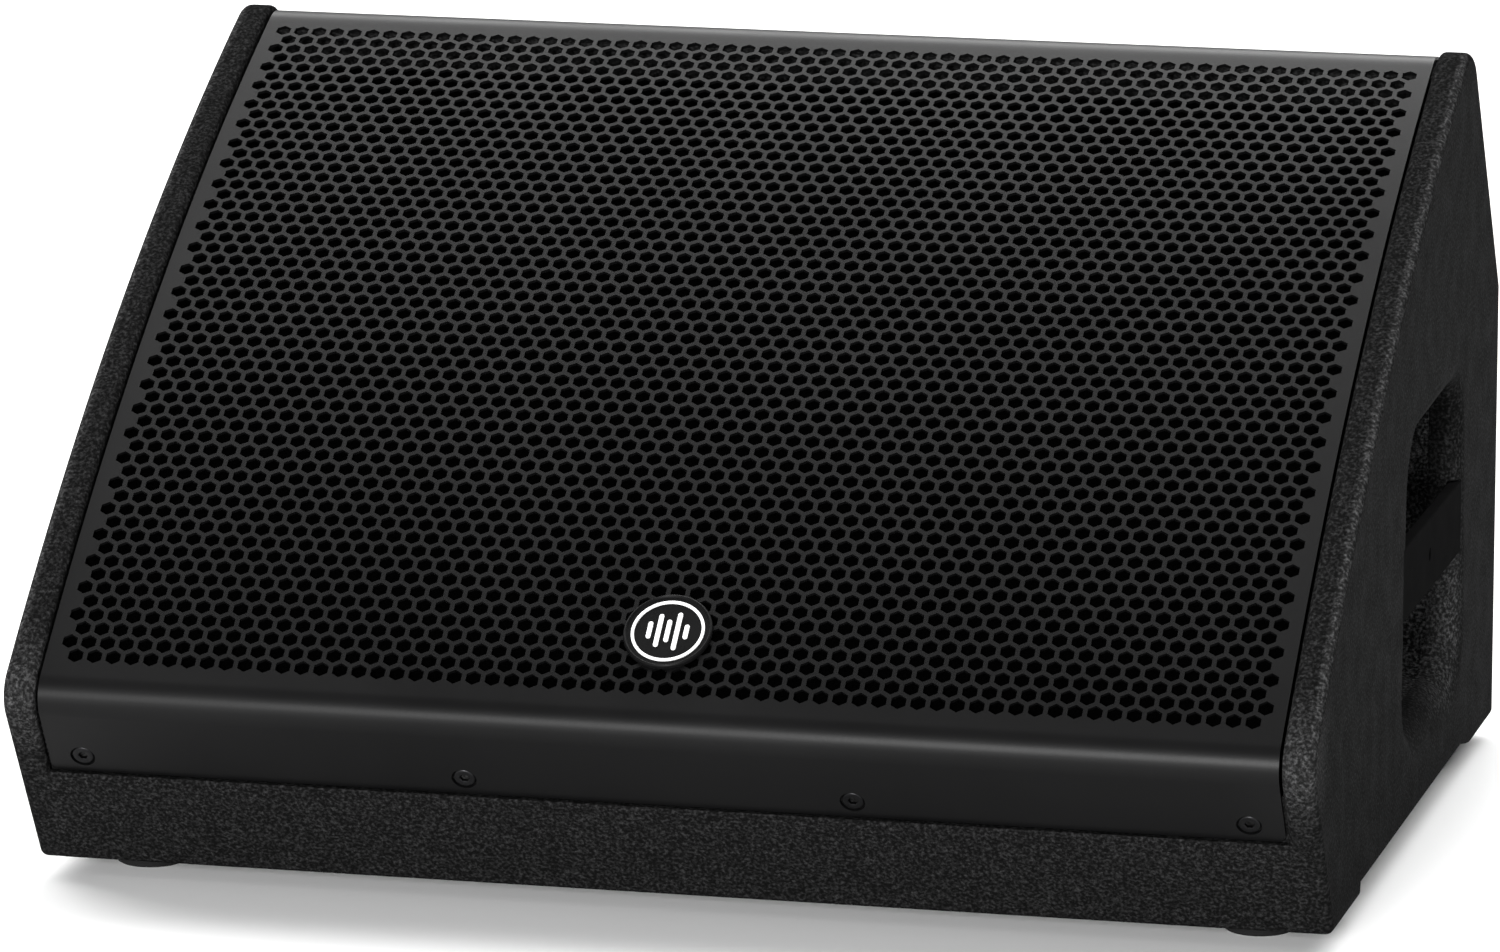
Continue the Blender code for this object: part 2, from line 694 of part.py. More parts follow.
# ---------------------------------------------------------------- coaxial driver
def driver():
    """Coaxial driver about the baffle's normal; z is 0 on the baffle's front face and falls inwards."""
    rim_top = 0.008
    basket_profile = [
        (0.168, rim_top),
        (DRIVER_RIM, rim_top),
        (DRIVER_RIM, GAP),
        (0.1760, GAP),
        (0.1735, -0.004),
        (0.098, -0.082),
        (0.098, -0.092),
        (0.060, -0.092),
        (0.060, -0.087),
        (0.092, -0.087),
        (0.092, -0.080),
        (0.168, -0.002),
    ]
    basket = turned("driver_basket", basket_profile, "casting", DRIVER)
    windows = 6
    for i in range(windows):
        spin = DRIVER @ Matrix.Rotation(math.tau * i / windows, 4, "Z")
        window = box("basket_window", (0.104, -0.036, -0.068), (0.180, 0.036, -0.020), None, spin)
        cut(basket, window)
    for degrees in SCREW_ANGLES:
        cut(basket, cylinder("basket_hole", 0.0029, -0.05, 0.05, None, ring_place(degrees), 8))
    gasket = [(0.1685, 0.0113), (0.1780, 0.0113), (0.1780, rim_top + GAP), (0.1685, rim_top + GAP)]
    turned("driver_gasket", gasket, "rubber", DRIVER)
    washer = [(0.0400, -0.0923), (0.085, -0.0923), (0.085, -0.1000), (0.0400, -0.1000)]
    turned("top_plate", washer, "zinc", DRIVER)
    ring = [(0.0480, -0.1003), (0.088, -0.1003), (0.088, -0.1190), (0.0480, -0.1190)]
    turned("magnet", ring, "magnet", DRIVER)
    yoke = [
        (0.0200, -0.0930),
        (0.0362, -0.0930),
        (0.0362, -0.1193),
        (0.0840, -0.1193),
        (0.0840, -0.1270),
        (0.0200, -0.1270),
    ]
    turned("pole_yoke", yoke, "zinc", DRIVER)
    coil = [(0.0374, -0.0640), (0.0386, -0.0640), (0.0386, -0.1060), (0.0374, -0.1060)]
    turned("voice_coil", coil, "cloth", DRIVER)
    cone = [(0.1490, 0.0062), (0.1502, 0.0050), (0.0400, -0.0630), (0.0389, -0.0620)]
    turned("cone", cone, "paper", DRIVER)
    turned("surround", surround_profile(rim_top), "rubber", DRIVER)
    turned("spider", spider_profile(), "cloth", DRIVER)
    horn = [
        (0.0500, -0.0300),
        (0.0512, -0.0310),
        (0.0355, -0.0600),
        (0.0290, -0.0780),
        (0.0196, -0.0925),
        (0.0196, -0.1265),
        (0.0180, -0.1265),
        (0.0180, -0.0925),
        (0.0275, -0.0770),
        (0.0340, -0.0595),
    ]
    turned("hf_horn", horn, "plastic", DRIVER)
    unit = [
        (0.0, -0.1400),
        (0.0178, -0.1340),
        (0.0178, -0.1273),
        (0.0400, -0.1273),
        (0.0440, -0.1310),
        (0.0440, -0.1560),
        (0.0400, -0.1600),
        (0.0, -0.1600),
    ]
    turned("compression_driver", unit, "casting", DRIVER, DRIVER_SEGMENTS, False)
    for number, degrees in enumerate(SCREW_ANGLES, 1):
        head = [
            (0.0, 0.0125),
            (0.0035, 0.0125),
            (0.0045, 0.0110),
            (0.0045, rim_top + GAP),
            (0.0025, rim_top + GAP),
            (0.0025, -0.0170),
            (0.0, -0.0170),
        ]
        turned("driver_screw_%d" % number, head, "screw_black", ring_place(degrees), 12, False)


def surround_profile(rim_top):
    """Half-roll from the cone's edge to the basket's rim, as a thin closed outline."""
    inner = 0.1508
    outer = 0.1675
    middle = (inner + outer) / 2
    steps = 6

    def roll(radius, level):
        turns = [math.pi * (1 - i / steps) for i in range(steps + 1)]
        return [(middle + radius * math.cos(t), level + radius * math.sin(t) * 0.8) for t in turns]

    radius = (outer - inner) / 2
    top = roll(radius, rim_top - 0.002)
    low = roll(radius - 0.0009, rim_top - 0.003)
    return top + low[::-1]


def spider_profile():
    """Corrugated suspension between the former and the basket's shelf."""
    inner = 0.0390
    outer = 0.0910
    waves = 4
    points = waves * 2
    level = -0.0815
    top = []
    low = []
    for i in range(points + 1):
        r = inner + (outer - inner) * i / points
        swing = 0.0016 if i % 2 else -0.0016
        if i in (0, points):
            swing = 0.0
        top.append((r, level + swing + 0.0004))
        low.append((r, level + swing - 0.0004))
    return top + low[::-1]


def port_tube(name, side):
    bore = PORT_BORE
    outer = PORT_BORE + PORT_WALL
    profile = [
        (bore + 0.0075, 0.0040),
        (bore + 0.0080, GAP),
        (outer, GAP),
        (outer, -PORT_LENGTH),
        (bore, -PORT_LENGTH),
        (bore, -0.006),
        (bore + 0.0030, 0.0015),
    ]
    turned(name, profile, "plastic", port_place(side), 24)


# ---------------------------------------------------------------- rear amplifier
SINK_X = (-0.142, -0.034)
SINK_Z = (0.058, 0.179)
INPUT_X = 0.000
LINK_X = 0.036
XLR_Z = 0.158
KNOB_Z = 0.110
LEVEL_X = 0.000
TRIM_X = 0.036
BUTTON_X = 0.068
LED_X = 0.068
LED_Z = 0.128
INLET_X = 0.112
INLET_Z = 0.152
ROCKER_X = 0.112
ROCKER_Z = 0.092
ROCKER_LEAN = math.radians(8.0)
ROCKER_Y = PLATE_FRONT_Y - 0.0015


def rear_place(x, z):
    """Placement on the amplifier plate's outer face, +Z pointing out of the rear."""
    return at(x, PLATE_FRONT_Y, z, FACING_REAR)


def amp_plate():
    plate = box(
        "amp_plate",
        (-AMP_HALF_X, PLATE_BACK_Y, AMP_LOW_Z),
        (AMP_HALF_X, PLATE_FRONT_Y, AMP_HIGH_Z),
        "steel_black",
    )
    for x, z, radius in (
        (INPUT_X, XLR_Z, 0.0118),
        (LINK_X, XLR_Z, 0.0118),
        (LEVEL_X, KNOB_Z, 0.0036),
        (TRIM_X, KNOB_Z, 0.0036),
        (BUTTON_X, KNOB_Z, 0.0036),
        (LED_X, LED_Z, 0.0017),
    ):
        cut(plate, cylinder("plate_hole", radius, -0.01, 0.01, None, rear_place(x, z), 16))
    for x, z, half_x, half_z in ((INLET_X, INLET_Z, 0.0143, 0.0108), (ROCKER_X, ROCKER_Z, 0.0098, 0.0143)):
        low = (x - half_x, PLATE_BACK_Y - 0.005, z - half_z)
        high = (x + half_x, PLATE_FRONT_Y + 0.005, z + half_z)
        cut(plate, box("plate_window", low, high, None))
    return cut(plate, latch_slot("plate_slot"))


def latch_slot(name):
    """Slot through the input socket's flange and the plate, for the release tab."""
    low = (-0.0039, -0.0145, -0.0100)
    high = (0.0039, -0.0109, 0.0060)
    return box(name, low, high, None, rear_place(INPUT_X, XLR_Z))


def heatsink():
    """Finned aluminium block on the plate's outer face."""
    base = 0.003
    fin_tip = 0.0125
    fin = 0.0016
    count = 14
    pitch = (SINK_X[1] - SINK_X[0] - fin) / (count - 1)
    comb = [(SINK_X[0], PLATE_FRONT_Y + GAP), (SINK_X[1], PLATE_FRONT_Y + GAP)]
    for i in reversed(range(count)):
        left = SINK_X[0] + i * pitch
        comb.append((left + fin, PLATE_FRONT_Y + fin_tip))
        comb.append((left, PLATE_FRONT_Y + fin_tip))
        if i:
            comb.append((left, PLATE_FRONT_Y + base))
            comb.append((left - pitch + fin, PLATE_FRONT_Y + base))
    return flat_plate("heatsink", [comb], SINK_Z[0], SINK_Z[1], None, "casting")


def socket_body(name, x, z, male):
    """Round audio socket with a square flange; a male one has three pins inside."""
    place = rear_place(x, z)
    body = box(name, (-0.0130, -0.0155, GAP), (0.0130, 0.0155, 0.0022), "plastic", place)
    bevel(body, 0.0015, 1)
    join(body, cylinder(name + "_barrel", 0.0115, -0.0220, 0.0015, None, place, 24))
    cut(body, cylinder(name + "_mouth", 0.0094, -0.0150, 0.0050, None, place, 24))
    if male:
        for i in range(3):
            turn = math.radians(90 + 120 * i)
            pin = place @ Matrix.Translation((0.0040 * math.cos(turn), 0.0040 * math.sin(turn), 0.0))
            join(body, cylinder(name + "_pin", 0.0012, -0.0180, -0.0030, None, pin, 8))
    return body


def input_latch():
    """Release tab above the input socket's mouth; it slides inwards when pressed."""
    place = rear_place(INPUT_X, XLR_Z)
    tab = box("input_latch", (-0.0036, -0.0142, -0.0012), (0.0036, -0.0112, 0.0032), "zinc", place)
    bevel(tab, 0.0005, 1)
    return tab


def knob(name, x):
    """Control knob with its shaft, turning about the placement's Z axis."""
    profile = [
        (0.0, 0.0140),
        (0.0068, 0.0140),
        (0.0075, 0.0132),
        (0.0082, 0.0025),
        (0.0082, 0.0008),
        (0.0031, 0.0008),
        (0.0031, -0.0100),
        (0.0, -0.0100),
    ]
    place = rear_place(x, KNOB_Z)
    piece = turned(name, profile, "plastic", place, 20, False)
    groove = box(name + "_pointer", (-0.0006, -0.0090, 0.0134), (0.0006, -0.0010, 0.0160), None, place)
    return cut(piece, groove)


def amplifier():
    amp_plate()
    heatsink()
    entry = socket_body("input_socket", INPUT_X, XLR_Z, False)
    cut(entry, latch_slot("socket_slot"))
    input_latch()
    socket_body("link_socket", LINK_X, XLR_Z, True)
    knob("level_knob", LEVEL_X)
    knob("trim_knob", TRIM_X)
    button = [(0.0, 0.0050), (0.0024, 0.0050), (0.0030, 0.0044), (0.0030, -0.0080), (0.0, -0.0080)]
    turned("mode_button", button, "plastic", rear_place(BUTTON_X, KNOB_Z), 16, False)
    led = [(0.0, 0.0018), (0.0010, 0.0014), (0.0014, 0.0004), (0.0014, -0.0060), (0.0, -0.0060)]
    turned("status_lamp", led, "lens", rear_place(LED_X, LED_Z), 12, False)
    mains_inlet()
    power_switch()
    amp_inside()


def mains_inlet():
    place = rear_place(INLET_X, INLET_Z)
    body = box("mains_inlet", (-0.0250, -0.0135, GAP), (0.0250, 0.0135, 0.0025), "plastic", place)
    bevel(body, 0.0020, 1)
    join(body, box("inlet_block", (-0.0140, -0.0105, -0.0200), (0.0140, 0.0105, 0.0015), None, place))
    cut(body, box("inlet_mouth", (-0.0122, -0.0085, -0.0150), (0.0122, 0.0085, 0.0060), None, place))
    for x, y in ((0.0, -0.0025), (-0.0065, 0.0022), (0.0065, 0.0022)):
        low = (x - 0.0010, y - 0.0020, -0.0180)
        high = (x + 0.0010, y + 0.0020, -0.0035)
        join(body, box("inlet_pin", low, high, None, place))
    return body


def power_switch():
    """Rocker switch: a bezel with its box, and the rocker that tips about a level axis."""
    place = rear_place(ROCKER_X, ROCKER_Z)
    bezel = box("switch_bezel", (-0.0115, -0.0160, GAP), (0.0115, 0.0160, 0.0025), "plastic", place)
    bevel(bezel, 0.0010, 1)
    join(bezel, box("switch_case", (-0.0095, -0.0140, -0.0190), (0.0095, 0.0140, 0.0015), None, place))
    cut(bezel, box("switch_mouth", (-0.0082, -0.0127, -0.0110), (0.0082, 0.0127, 0.0060), None, place))
    outline = rounded(
        [
            ((-0.0118, 0.0040), 0.0008),
            ((0.0, 0.0010), 0.0),
            ((0.0118, 0.0040), 0.0008),
            ((0.0105, -0.0030), 0.0),
            ((0.0, -0.0065), 0.0),
            ((-0.0105, -0.0030), 0.0),
        ],
        2,
    )
    rocker = flat_plate("power_rocker", [outline], -0.0078, 0.0078, None, "plastic")
    rocker.matrix_world = at(ROCKER_X, ROCKER_Y, ROCKER_Z, ROCKER_LEAN) @ ZY_PLANE
    return bezel


def amp_inside():
    """Circuit board with its parts, and the separate power supply on the bottom board."""
    board_y = 0.196
    card = box("amp_card", (-0.140, board_y - 0.0016, 0.046), (0.140, board_y, 0.190), "board_green")
    join(card, box("card_choke", (-0.110, board_y - 0.030, 0.060), (-0.070, board_y - 0.001, 0.100), None))
    join(card, box("card_bridge", (-0.050, board_y - 0.022, 0.120), (0.030, board_y - 0.001, 0.170), None))
    for i in range(3):
        spot = at(0.060 + 0.028 * i, board_y - 0.001, 0.080, math.pi / 2)
        join(card, cylinder("card_capacitor", 0.0110, 0.0, 0.028, None, spot, 12))
    floor = BOARD_UNDERSIDE_Z + PLY + GAP
    supply = box("power_supply", (-0.200, 0.100, floor), (-0.110, 0.158, floor + 0.052), "zinc")
    bevel(supply, 0.0015, 1)
    return card


# ---------------------------------------------------------------- assembly
def build():
    for name, side in (("left", -1), ("right", 1)):
        side_panel("side_panel_" + name, side)
        grab_pocket("grab_pocket_" + name, side)
        grab_bar("grab_bar_" + name, side)
        port_tube("port_tube_" + name, side)
    kick_board()
    bottom_board()
    rear_board()
    rear_slope_board()
    top_rail()
    baffle_board()
    grille()
    grille_foam()
    for number, x in enumerate(GRILLE_SCREW_X, 1):
        name = "grille_screw_%d" % number
        flat_head_screw(name, screw_place(x), 0.0051, 0.0024, 0.022, 0.0019, "screw_black")
    badge()
    for number, (x, y) in enumerate(foot_places(), 1):
        foot("foot_%d" % number, x, y)
        foot_screw("foot_screw_%d" % number, x, y)
    driver()
    amplifier()


build()
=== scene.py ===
"""Looks for the stage monitor wedge: cabinet, perforated grille, grab bars, feet and rear amplifier panel.

Everything is in metres in the part's own frame: +Z up, X across the width, the audience side faces -Y.
"""

import bisect
from math import atan2, copysign, cos, dist, pi, radians, sin, sqrt, tan, tau

import bmesh
import bpy
from mathutils import Matrix, Vector


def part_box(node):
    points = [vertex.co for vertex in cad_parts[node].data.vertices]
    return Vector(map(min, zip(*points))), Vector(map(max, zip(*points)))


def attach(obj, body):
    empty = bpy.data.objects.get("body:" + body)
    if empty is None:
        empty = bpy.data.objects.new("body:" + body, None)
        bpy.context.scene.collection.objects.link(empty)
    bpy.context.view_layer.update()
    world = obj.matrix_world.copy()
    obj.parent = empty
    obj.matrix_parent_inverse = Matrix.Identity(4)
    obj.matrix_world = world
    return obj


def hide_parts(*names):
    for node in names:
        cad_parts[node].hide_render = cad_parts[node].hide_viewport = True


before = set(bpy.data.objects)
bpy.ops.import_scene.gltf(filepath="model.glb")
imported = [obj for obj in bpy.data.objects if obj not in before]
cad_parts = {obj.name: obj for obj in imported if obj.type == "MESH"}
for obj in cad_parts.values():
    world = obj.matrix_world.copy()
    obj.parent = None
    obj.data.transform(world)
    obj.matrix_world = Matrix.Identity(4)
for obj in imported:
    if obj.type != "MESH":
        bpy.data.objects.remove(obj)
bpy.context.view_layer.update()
scene = bpy.context.scene
scene.view_settings.view_transform = "Standard"

# ---- sizes, as in the part's source
WIDTH = 0.600
PLY = 0.015
FOOT_SHOW = 0.0095
REAR_Y = 0.2415
TOE_Y = -0.190
LOWER_FACE_LEAN = radians(32.6)
REAR_SLOPE = radians(57.0)
REAR_TOP_Z = 0.2227
ARC_CENTRE = (0.7127, -0.9481)
ARC_RADIUS = 1.4192
NOSE_RADIUS = 0.017
APEX_RADIUS = 0.025
RELIEF_FRONT_Y = -0.119
RELIEF_REAR_Y = 0.155
RELIEF_RAMP = 0.024
RELIEF_RISE = 0.005

SHEET_RECESS = 0.0024
SHEET = 0.0015
SHEET_SIDE_GAP = 0.0014
SHEET_BED = SHEET_RECESS + SHEET + 0.0006
FLANGE_BOTTOM_Z = 0.0582
SHEET_REAR_LAP = 0.030
GRILLE_SCREW_X = (-0.2678, -0.0892, 0.0892, 0.2678)
GRILLE_SCREW_Z = 0.0660
FOAM_THICK = 0.0056
BADGE_FROM_NOSE = 0.0542
BADGE_RADIUS = 0.0203

HANDLE_Y = 0.0600
HANDLE_Z = 0.1268
POCKET_HALF_Y = 0.0712
POCKET_HALF_Z = 0.0705
BAR_LENGTH = 0.1585
BAR_HEIGHT = 0.034
BAR_THICK = 0.006
BAR_Z = 0.1297
BAR_HOLE_Y = 0.0535
BAR_HOLE_RADIUS = 0.0035
NOTCH_LENGTH = 0.1613

INNER_X = WIDTH / 2 - PLY
EDGE = 0.0030                      # rounding of the coated edges
OUTER_EDGE = 0.0040
LOW_CORNER = 0.0042                # rounding of the boards' lowest corners in side view
REAR_CORNER = 0.006
KICK_TOP_Z = 0.082
WINDOW_Z = 0.1185                  # the amplifier's opening in the rear board
WINDOW_HALF_X = 0.150
WINDOW_HALF_Z = 0.0685
LIP = 0.0050                       # rounding of the grab pocket's edge, least and most
LIP_WIDE = 0.0200
LIP_DEEP = 0.0130
OVERLAP = 0.0036                   # boards run this far over the side panels' rounded inner edges
PROUD = 0.00004

HOLE_PITCH = 0.00884               # perforation: staggered rows of hexagonal holes
HOLE_SHARE = 0.76                  # hole across its flats, as a share of the pitch
ROW_STEP = HOLE_PITCH * sqrt(3) / 2
FIRST_ROW = -30
LAST_ROW = 25
LATTICE_ANGLE = radians(122.19)      # where row 0 lies on the curve
HOLES_HALF_WIDE = 31

PLATE_Y = REAR_Y - PLY - 0.0003    # amplifier plate's outer face

CAMERA_PLACE = (1.0125, -4.1812, 1.0836)
CAMERA_LENS = 226.9
CAMERA_DIP = 12.082                # degrees
CAMERA_TURN = 13.771
FLOOR_SIZE = 60.0
BACKDROP_RADIUS = 30.0
BACKDROP_HEIGHT = 24.0
AMBIENT = 0.15
SUNS = (                           # name, azimuth, elevation, power, spread
    ("front", 358.0, 11.5, 5.3, 18.0),
    ("front_high", 352.0, 46.0, 0.35, 60.0),
    ("rear", 186.0, 41.0, 1.95, 34.0),
    ("rear_left", 245.0, 45.0, 2.2, 40.0),
    ("rear_right", 130.0, 50.0, 1.6, 40.0),
    ("top", 180.0, 82.0, 0.6, 40.0),
)


# ---- camera
def make_camera():
    data = bpy.data.cameras.new("camera")
    data.sensor_width = 36.0
    data.lens = CAMERA_LENS
    camera = bpy.data.objects.new("camera", data)
    scene.collection.objects.link(camera)
    camera.location = CAMERA_PLACE
    camera.rotation_euler = (radians(90.0 - CAMERA_DIP), 0.0, radians(CAMERA_TURN))
    scene.camera = camera


make_camera()


# ---- outlines in the (y, z) plane
def along(point, direction, distance):
    return (point[0] + direction[0] * distance, point[1] + direction[1] * distance)


UP_LOWER = (-sin(LOWER_FACE_LEAN), cos(LOWER_FACE_LEAN))
IN_LOWER = (cos(LOWER_FACE_LEAN), sin(LOWER_FACE_LEAN))
UP_REAR = (-cos(REAR_SLOPE), sin(REAR_SLOPE))
IN_REAR = (-sin(REAR_SLOPE), -cos(REAR_SLOPE))


def lower_face(inset, distance=0.0):
    return along(along((TOE_Y, FOOT_SHOW), IN_LOWER, inset), UP_LOWER, distance)


def lower_face_at(inset, z):
    start = lower_face(inset)
    return along(start, UP_LOWER, (z - start[1]) / UP_LOWER[1])


def rear_face(inset, distance=0.0):
    return along(along((REAR_Y, REAR_TOP_Z), IN_REAR, inset), UP_REAR, distance)


def meet_arc(start, direction, radius):
    dy = start[0] - ARC_CENTRE[0]
    dz = start[1] - ARC_CENTRE[1]
    half = dy * direction[0] + dz * direction[1]
    root = sqrt(half * half - (dy * dy + dz * dz - radius * radius))
    return along(start, direction, -half + root)


def arc_angle(point):
    return atan2(point[1] - ARC_CENTRE[1], point[0] - ARC_CENTRE[0])


def arc_point(radius, angle):
    return (ARC_CENTRE[0] + radius * cos(angle), ARC_CENTRE[1] + radius * sin(angle))


def nose(inset):
    return meet_arc(lower_face(inset), UP_LOWER, ARC_RADIUS - inset)


def apex(inset):
    return meet_arc(rear_face(inset), UP_REAR, ARC_RADIUS - inset)


def rear_lap_end(inset, spare=0.0):
    length = (Vector(apex(0.0)) - Vector(rear_face(0.0))).length
    return rear_face(inset, length - SHEET_REAR_LAP - spare)


def arc_run(inset, start, end, steps, clear=0.0):
    """Points strictly between two points of the curve, and further than clear from both."""
    first = arc_angle(start)
    last = arc_angle(end)
    points = [arc_point(ARC_RADIUS - inset, first + (last - first) * i / steps) for i in range(1, steps)]
    return [point for point in points if min(dist(point, start), dist(point, end)) > clear]


def rounded(corners, steps=10):
    """Outline from (point, radius) corners, each radius turned into an arc of short chords."""
    outline = []
    count = len(corners)
    for i, (corner, radius) in enumerate(corners):
        if radius <= 0.0:
            outline.append(tuple(corner))
            continue
        before = (Vector(corners[i - 1][0]) - Vector(corner)).normalized()
        after = (Vector(corners[(i + 1) % count][0]) - Vector(corner)).normalized()
        half = before.angle(after) / 2
        reach = radius / tan(half)
        middle = Vector(corner) + (before + after).normalized() * (radius / sin(half))
        first = Vector(corner) + before * reach - middle
        last = Vector(corner) + after * reach - middle
        turn = first.angle_signed(last)
        for k in range(steps + 1):
            spoke = first.copy()
            spoke.rotate(Matrix.Rotation(-turn * k / steps, 2))
            outline.append(tuple(middle + spoke))
    return outline


def rounded_rectangle(centre, half_a, half_b, radii, steps=10):
    if not isinstance(radii, tuple):
        radii = (radii,) * 4
    signs = ((-1, -1), (1, -1), (1, 1), (-1, 1))
    corners = [(centre[0] + i * half_a, centre[1] + j * half_b) for i, j in signs]
    return rounded(list(zip(corners, radii)), steps)


def circle(centre, radius, steps):
    turns = [tau * i / steps for i in range(steps)]
    return [(centre[0] + radius * cos(t), centre[1] + radius * sin(t)) for t in turns]


def area(outline):
    pairs = zip(outline, outline[1:] + outline[:1])
    return sum(a[0] * b[1] - b[0] * a[1] for a, b in pairs) / 2


def inset_outline(outline, distance):
    """The outline moved inwards by distance (outwards if negative), corner by corner."""
    sign = 1.0 if area(outline) > 0 else -1.0
    moved = []
    count = len(outline)
    for i, point in enumerate(outline):
        before = (Vector(point) - Vector(outline[i - 1])).normalized()
        after = (Vector(outline[(i + 1) % count]) - Vector(point)).normalized()
        normal_a = Vector((-before.y, before.x)) * sign
        normal_b = Vector((-after.y, after.x)) * sign
        middle = (normal_a + normal_b).normalized()
        moved.append(tuple(Vector(point) + middle * (distance / max(middle.dot(normal_a), 0.3))))
    return moved


# ---- mesh tools
def to_mesh(name, work):
    mesh = bpy.data.meshes.new(name)
    work.to_mesh(mesh)
    work.free()
    return mesh


def add(name, mesh, placement=None):
    piece = bpy.data.objects.new(name, mesh)
    scene.collection.objects.link(piece)
    if placement is not None:
        mesh.transform(placement)
    return piece


def layered(name, layers, close_low=True, close_high=True, holes=None):
    """Solid from a stack of equally long outlines, each a list of 3D points; holes are stacks as well."""
    work = bmesh.new()
    stacks = [layers] + (holes or [])
    ends = ([], [])
    for stack in stacks:
        loops = [[work.verts.new(point) for point in layer] for layer in stack]
        for low, high in zip(loops, loops[1:]):
            for i in range(len(low)):
                j = (i + 1) % len(low)
                work.faces.new((low[i], low[j], high[j], high[i]))
        for end, loop in zip(ends, (loops[0], loops[-1])):
            end += [work.edges.get((loop[i], loop[(i + 1) % len(loop)])) for i in range(len(loop))]
    for wanted, end in zip((close_low, close_high), ends):
        if wanted:
            bmesh.ops.triangle_fill(work, edges=end, use_beauty=True)
    bmesh.ops.recalc_face_normals(work, faces=work.faces)
    return add(name, to_mesh(name, work))


def rounded_stack(outline, low, high, lift, low_round, high_round, steps=4, way=1.0):
    """Layers of a plate from low to high whose two edges are rounded; way is -1 for a hole's wall."""
    layers = []
    for level, other, radius, order in ((low, high, low_round, 1), (high, low, high_round, -1)):
        turns = [pi / 2 * k / steps for k in range(steps + 1)] if radius > 0 else [pi / 2]
        for turn in turns[::order]:
            moved = inset_outline(outline, way * radius * (1 - sin(turn)))
            depth = level + copysign(radius * (1 - cos(turn)), other - level)
            layers.append([lift(depth, a, b) for a, b in moved])
    return layers


def along_x(level, a, b):
    return (level, a, b)


def along_y(level, a, b):
    return (a, level, b)


def along_z(level, a, b):
    return (a, b, level)


def plate(name, outline, low, high, lift, edge=0.0, holes=(), steps=3, hole_edge=None):
    """Flat plate with rounded edges on both faces and optional holes."""
    hole_edge = edge if hole_edge is None else hole_edge
    layers = rounded_stack(outline, low, high, lift, edge, edge, steps)
    stacks = [rounded_stack(hole, low, high, lift, hole_edge, hole_edge, steps, -1.0) for hole in holes]
    return layered(name, layers, holes=stacks)


def turned(name, profile, placement, segments=48):
    """Solid turned about the placement's Z axis, from (radius, z) points; radius 0 is a point on the axis."""
    work = bmesh.new()
    rings = []
    for radius, z in profile:
        around = circle((0.0, 0.0), radius, segments if radius > 0 else 1)
        rings.append([work.verts.new((a, b, z)) for a, b in around])
    pairs = list(zip(rings, rings[1:]))
    if len(rings[0]) > 1 and len(rings[-1]) > 1:
        pairs.append((rings[-1], rings[0]))
    for low, high in pairs:
        for i in range(segments):
            j = (i + 1) % segments
            corners = (low[i % len(low)], low[j % len(low)], high[j % len(high)], high[i % len(high)])
            work.faces.new(list(dict.fromkeys(corners)))
    bmesh.ops.recalc_face_normals(work, faces=work.faces)
    return add(name, to_mesh(name, work), placement)


def block(name, low, high, edge=0.0, placement=None, segments=2):
    work = bmesh.new()
    bmesh.ops.create_cube(work, size=1.0)
    bmesh.ops.scale(work, vec=[b - a for a, b in zip(low, high)], verts=work.verts)
    bmesh.ops.translate(work, vec=[(b + a) / 2 for a, b in zip(low, high)], verts=work.verts)
    if edge > 0:
        edges = work.edges[:]
        bmesh.ops.bevel(
            work, geom=edges, offset=edge, segments=segments, profile=0.5, affect="EDGES", clamp_overlap=True
        )
    return add(name, to_mesh(name, work), placement)


def upright_block(name, half_x, half_y, low, high, placement=None):
    """Sharp block about the placement's Z axis."""
    return block(name, (-half_x, -half_y, low), (half_x, half_y, high), 0.0, placement)


def settle(piece):
    """Apply the piece's modifiers to its mesh."""
    evaluated = piece.evaluated_get(bpy.context.evaluated_depsgraph_get())
    mesh = bpy.data.meshes.new_from_object(evaluated)
    piece.modifiers.clear()
    piece.data = mesh
    return piece


def cut(piece, *cutters):
    bpy.context.view_layer.update()
    for cutter in cutters:
        step = piece.modifiers.new("cut", "BOOLEAN")
        step.operation = "DIFFERENCE"
        step.solver = "EXACT"
        step.object = cutter
    settle(piece)
    for cutter in cutters:
        bpy.data.objects.remove(cutter, do_unlink=True)
    return piece


def merged(name, *shapes):
    """One piece from several meshes that keep their own shells and materials."""
    materials = []
    work = bmesh.new()
    for shape in shapes:
        start = len(work.faces)
        work.from_mesh(shape.data)
        work.faces.ensure_lookup_table()
        own = list(shape.data.materials)
        materials += [material for material in own if material not in materials]
        for face in work.faces[start:]:
            face.material_index = materials.index(own[face.material_index])
        bpy.data.objects.remove(shape, do_unlink=True)
    piece = add(name, to_mesh(name, work))
    for material in materials:
        piece.data.materials.append(material)
    return piece


def coat(piece, material, placement=None):
    if placement is not None:
        piece.data.transform(placement)
    piece.data.materials.clear()
    piece.data.materials.append(material)
    return piece


def smooth(piece, degrees=40.0):
    """Smooth shading with hard edges kept where faces meet at more than the angle."""
    work = bmesh.new()
    work.from_mesh(piece.data)
    limit = radians(degrees)
    for face in work.faces:
        face.smooth = True
    for edge in work.edges:
        edge.smooth = len(edge.link_faces) == 2 and edge.calc_face_angle(0.0) < limit
    work.to_mesh(piece.data)
    work.free()
    weighted = piece.modifiers.new("normals", "WEIGHTED_NORMAL")
    weighted.keep_sharp = True
    weighted.weight = 100
    bpy.context.view_layer.update()
    return settle(piece)


def stands_for(piece, slot, *nodes, body="cabinet", degrees=40.0):
    smooth(piece, degrees)
    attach(piece, body)
    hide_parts(*nodes)
    return piece


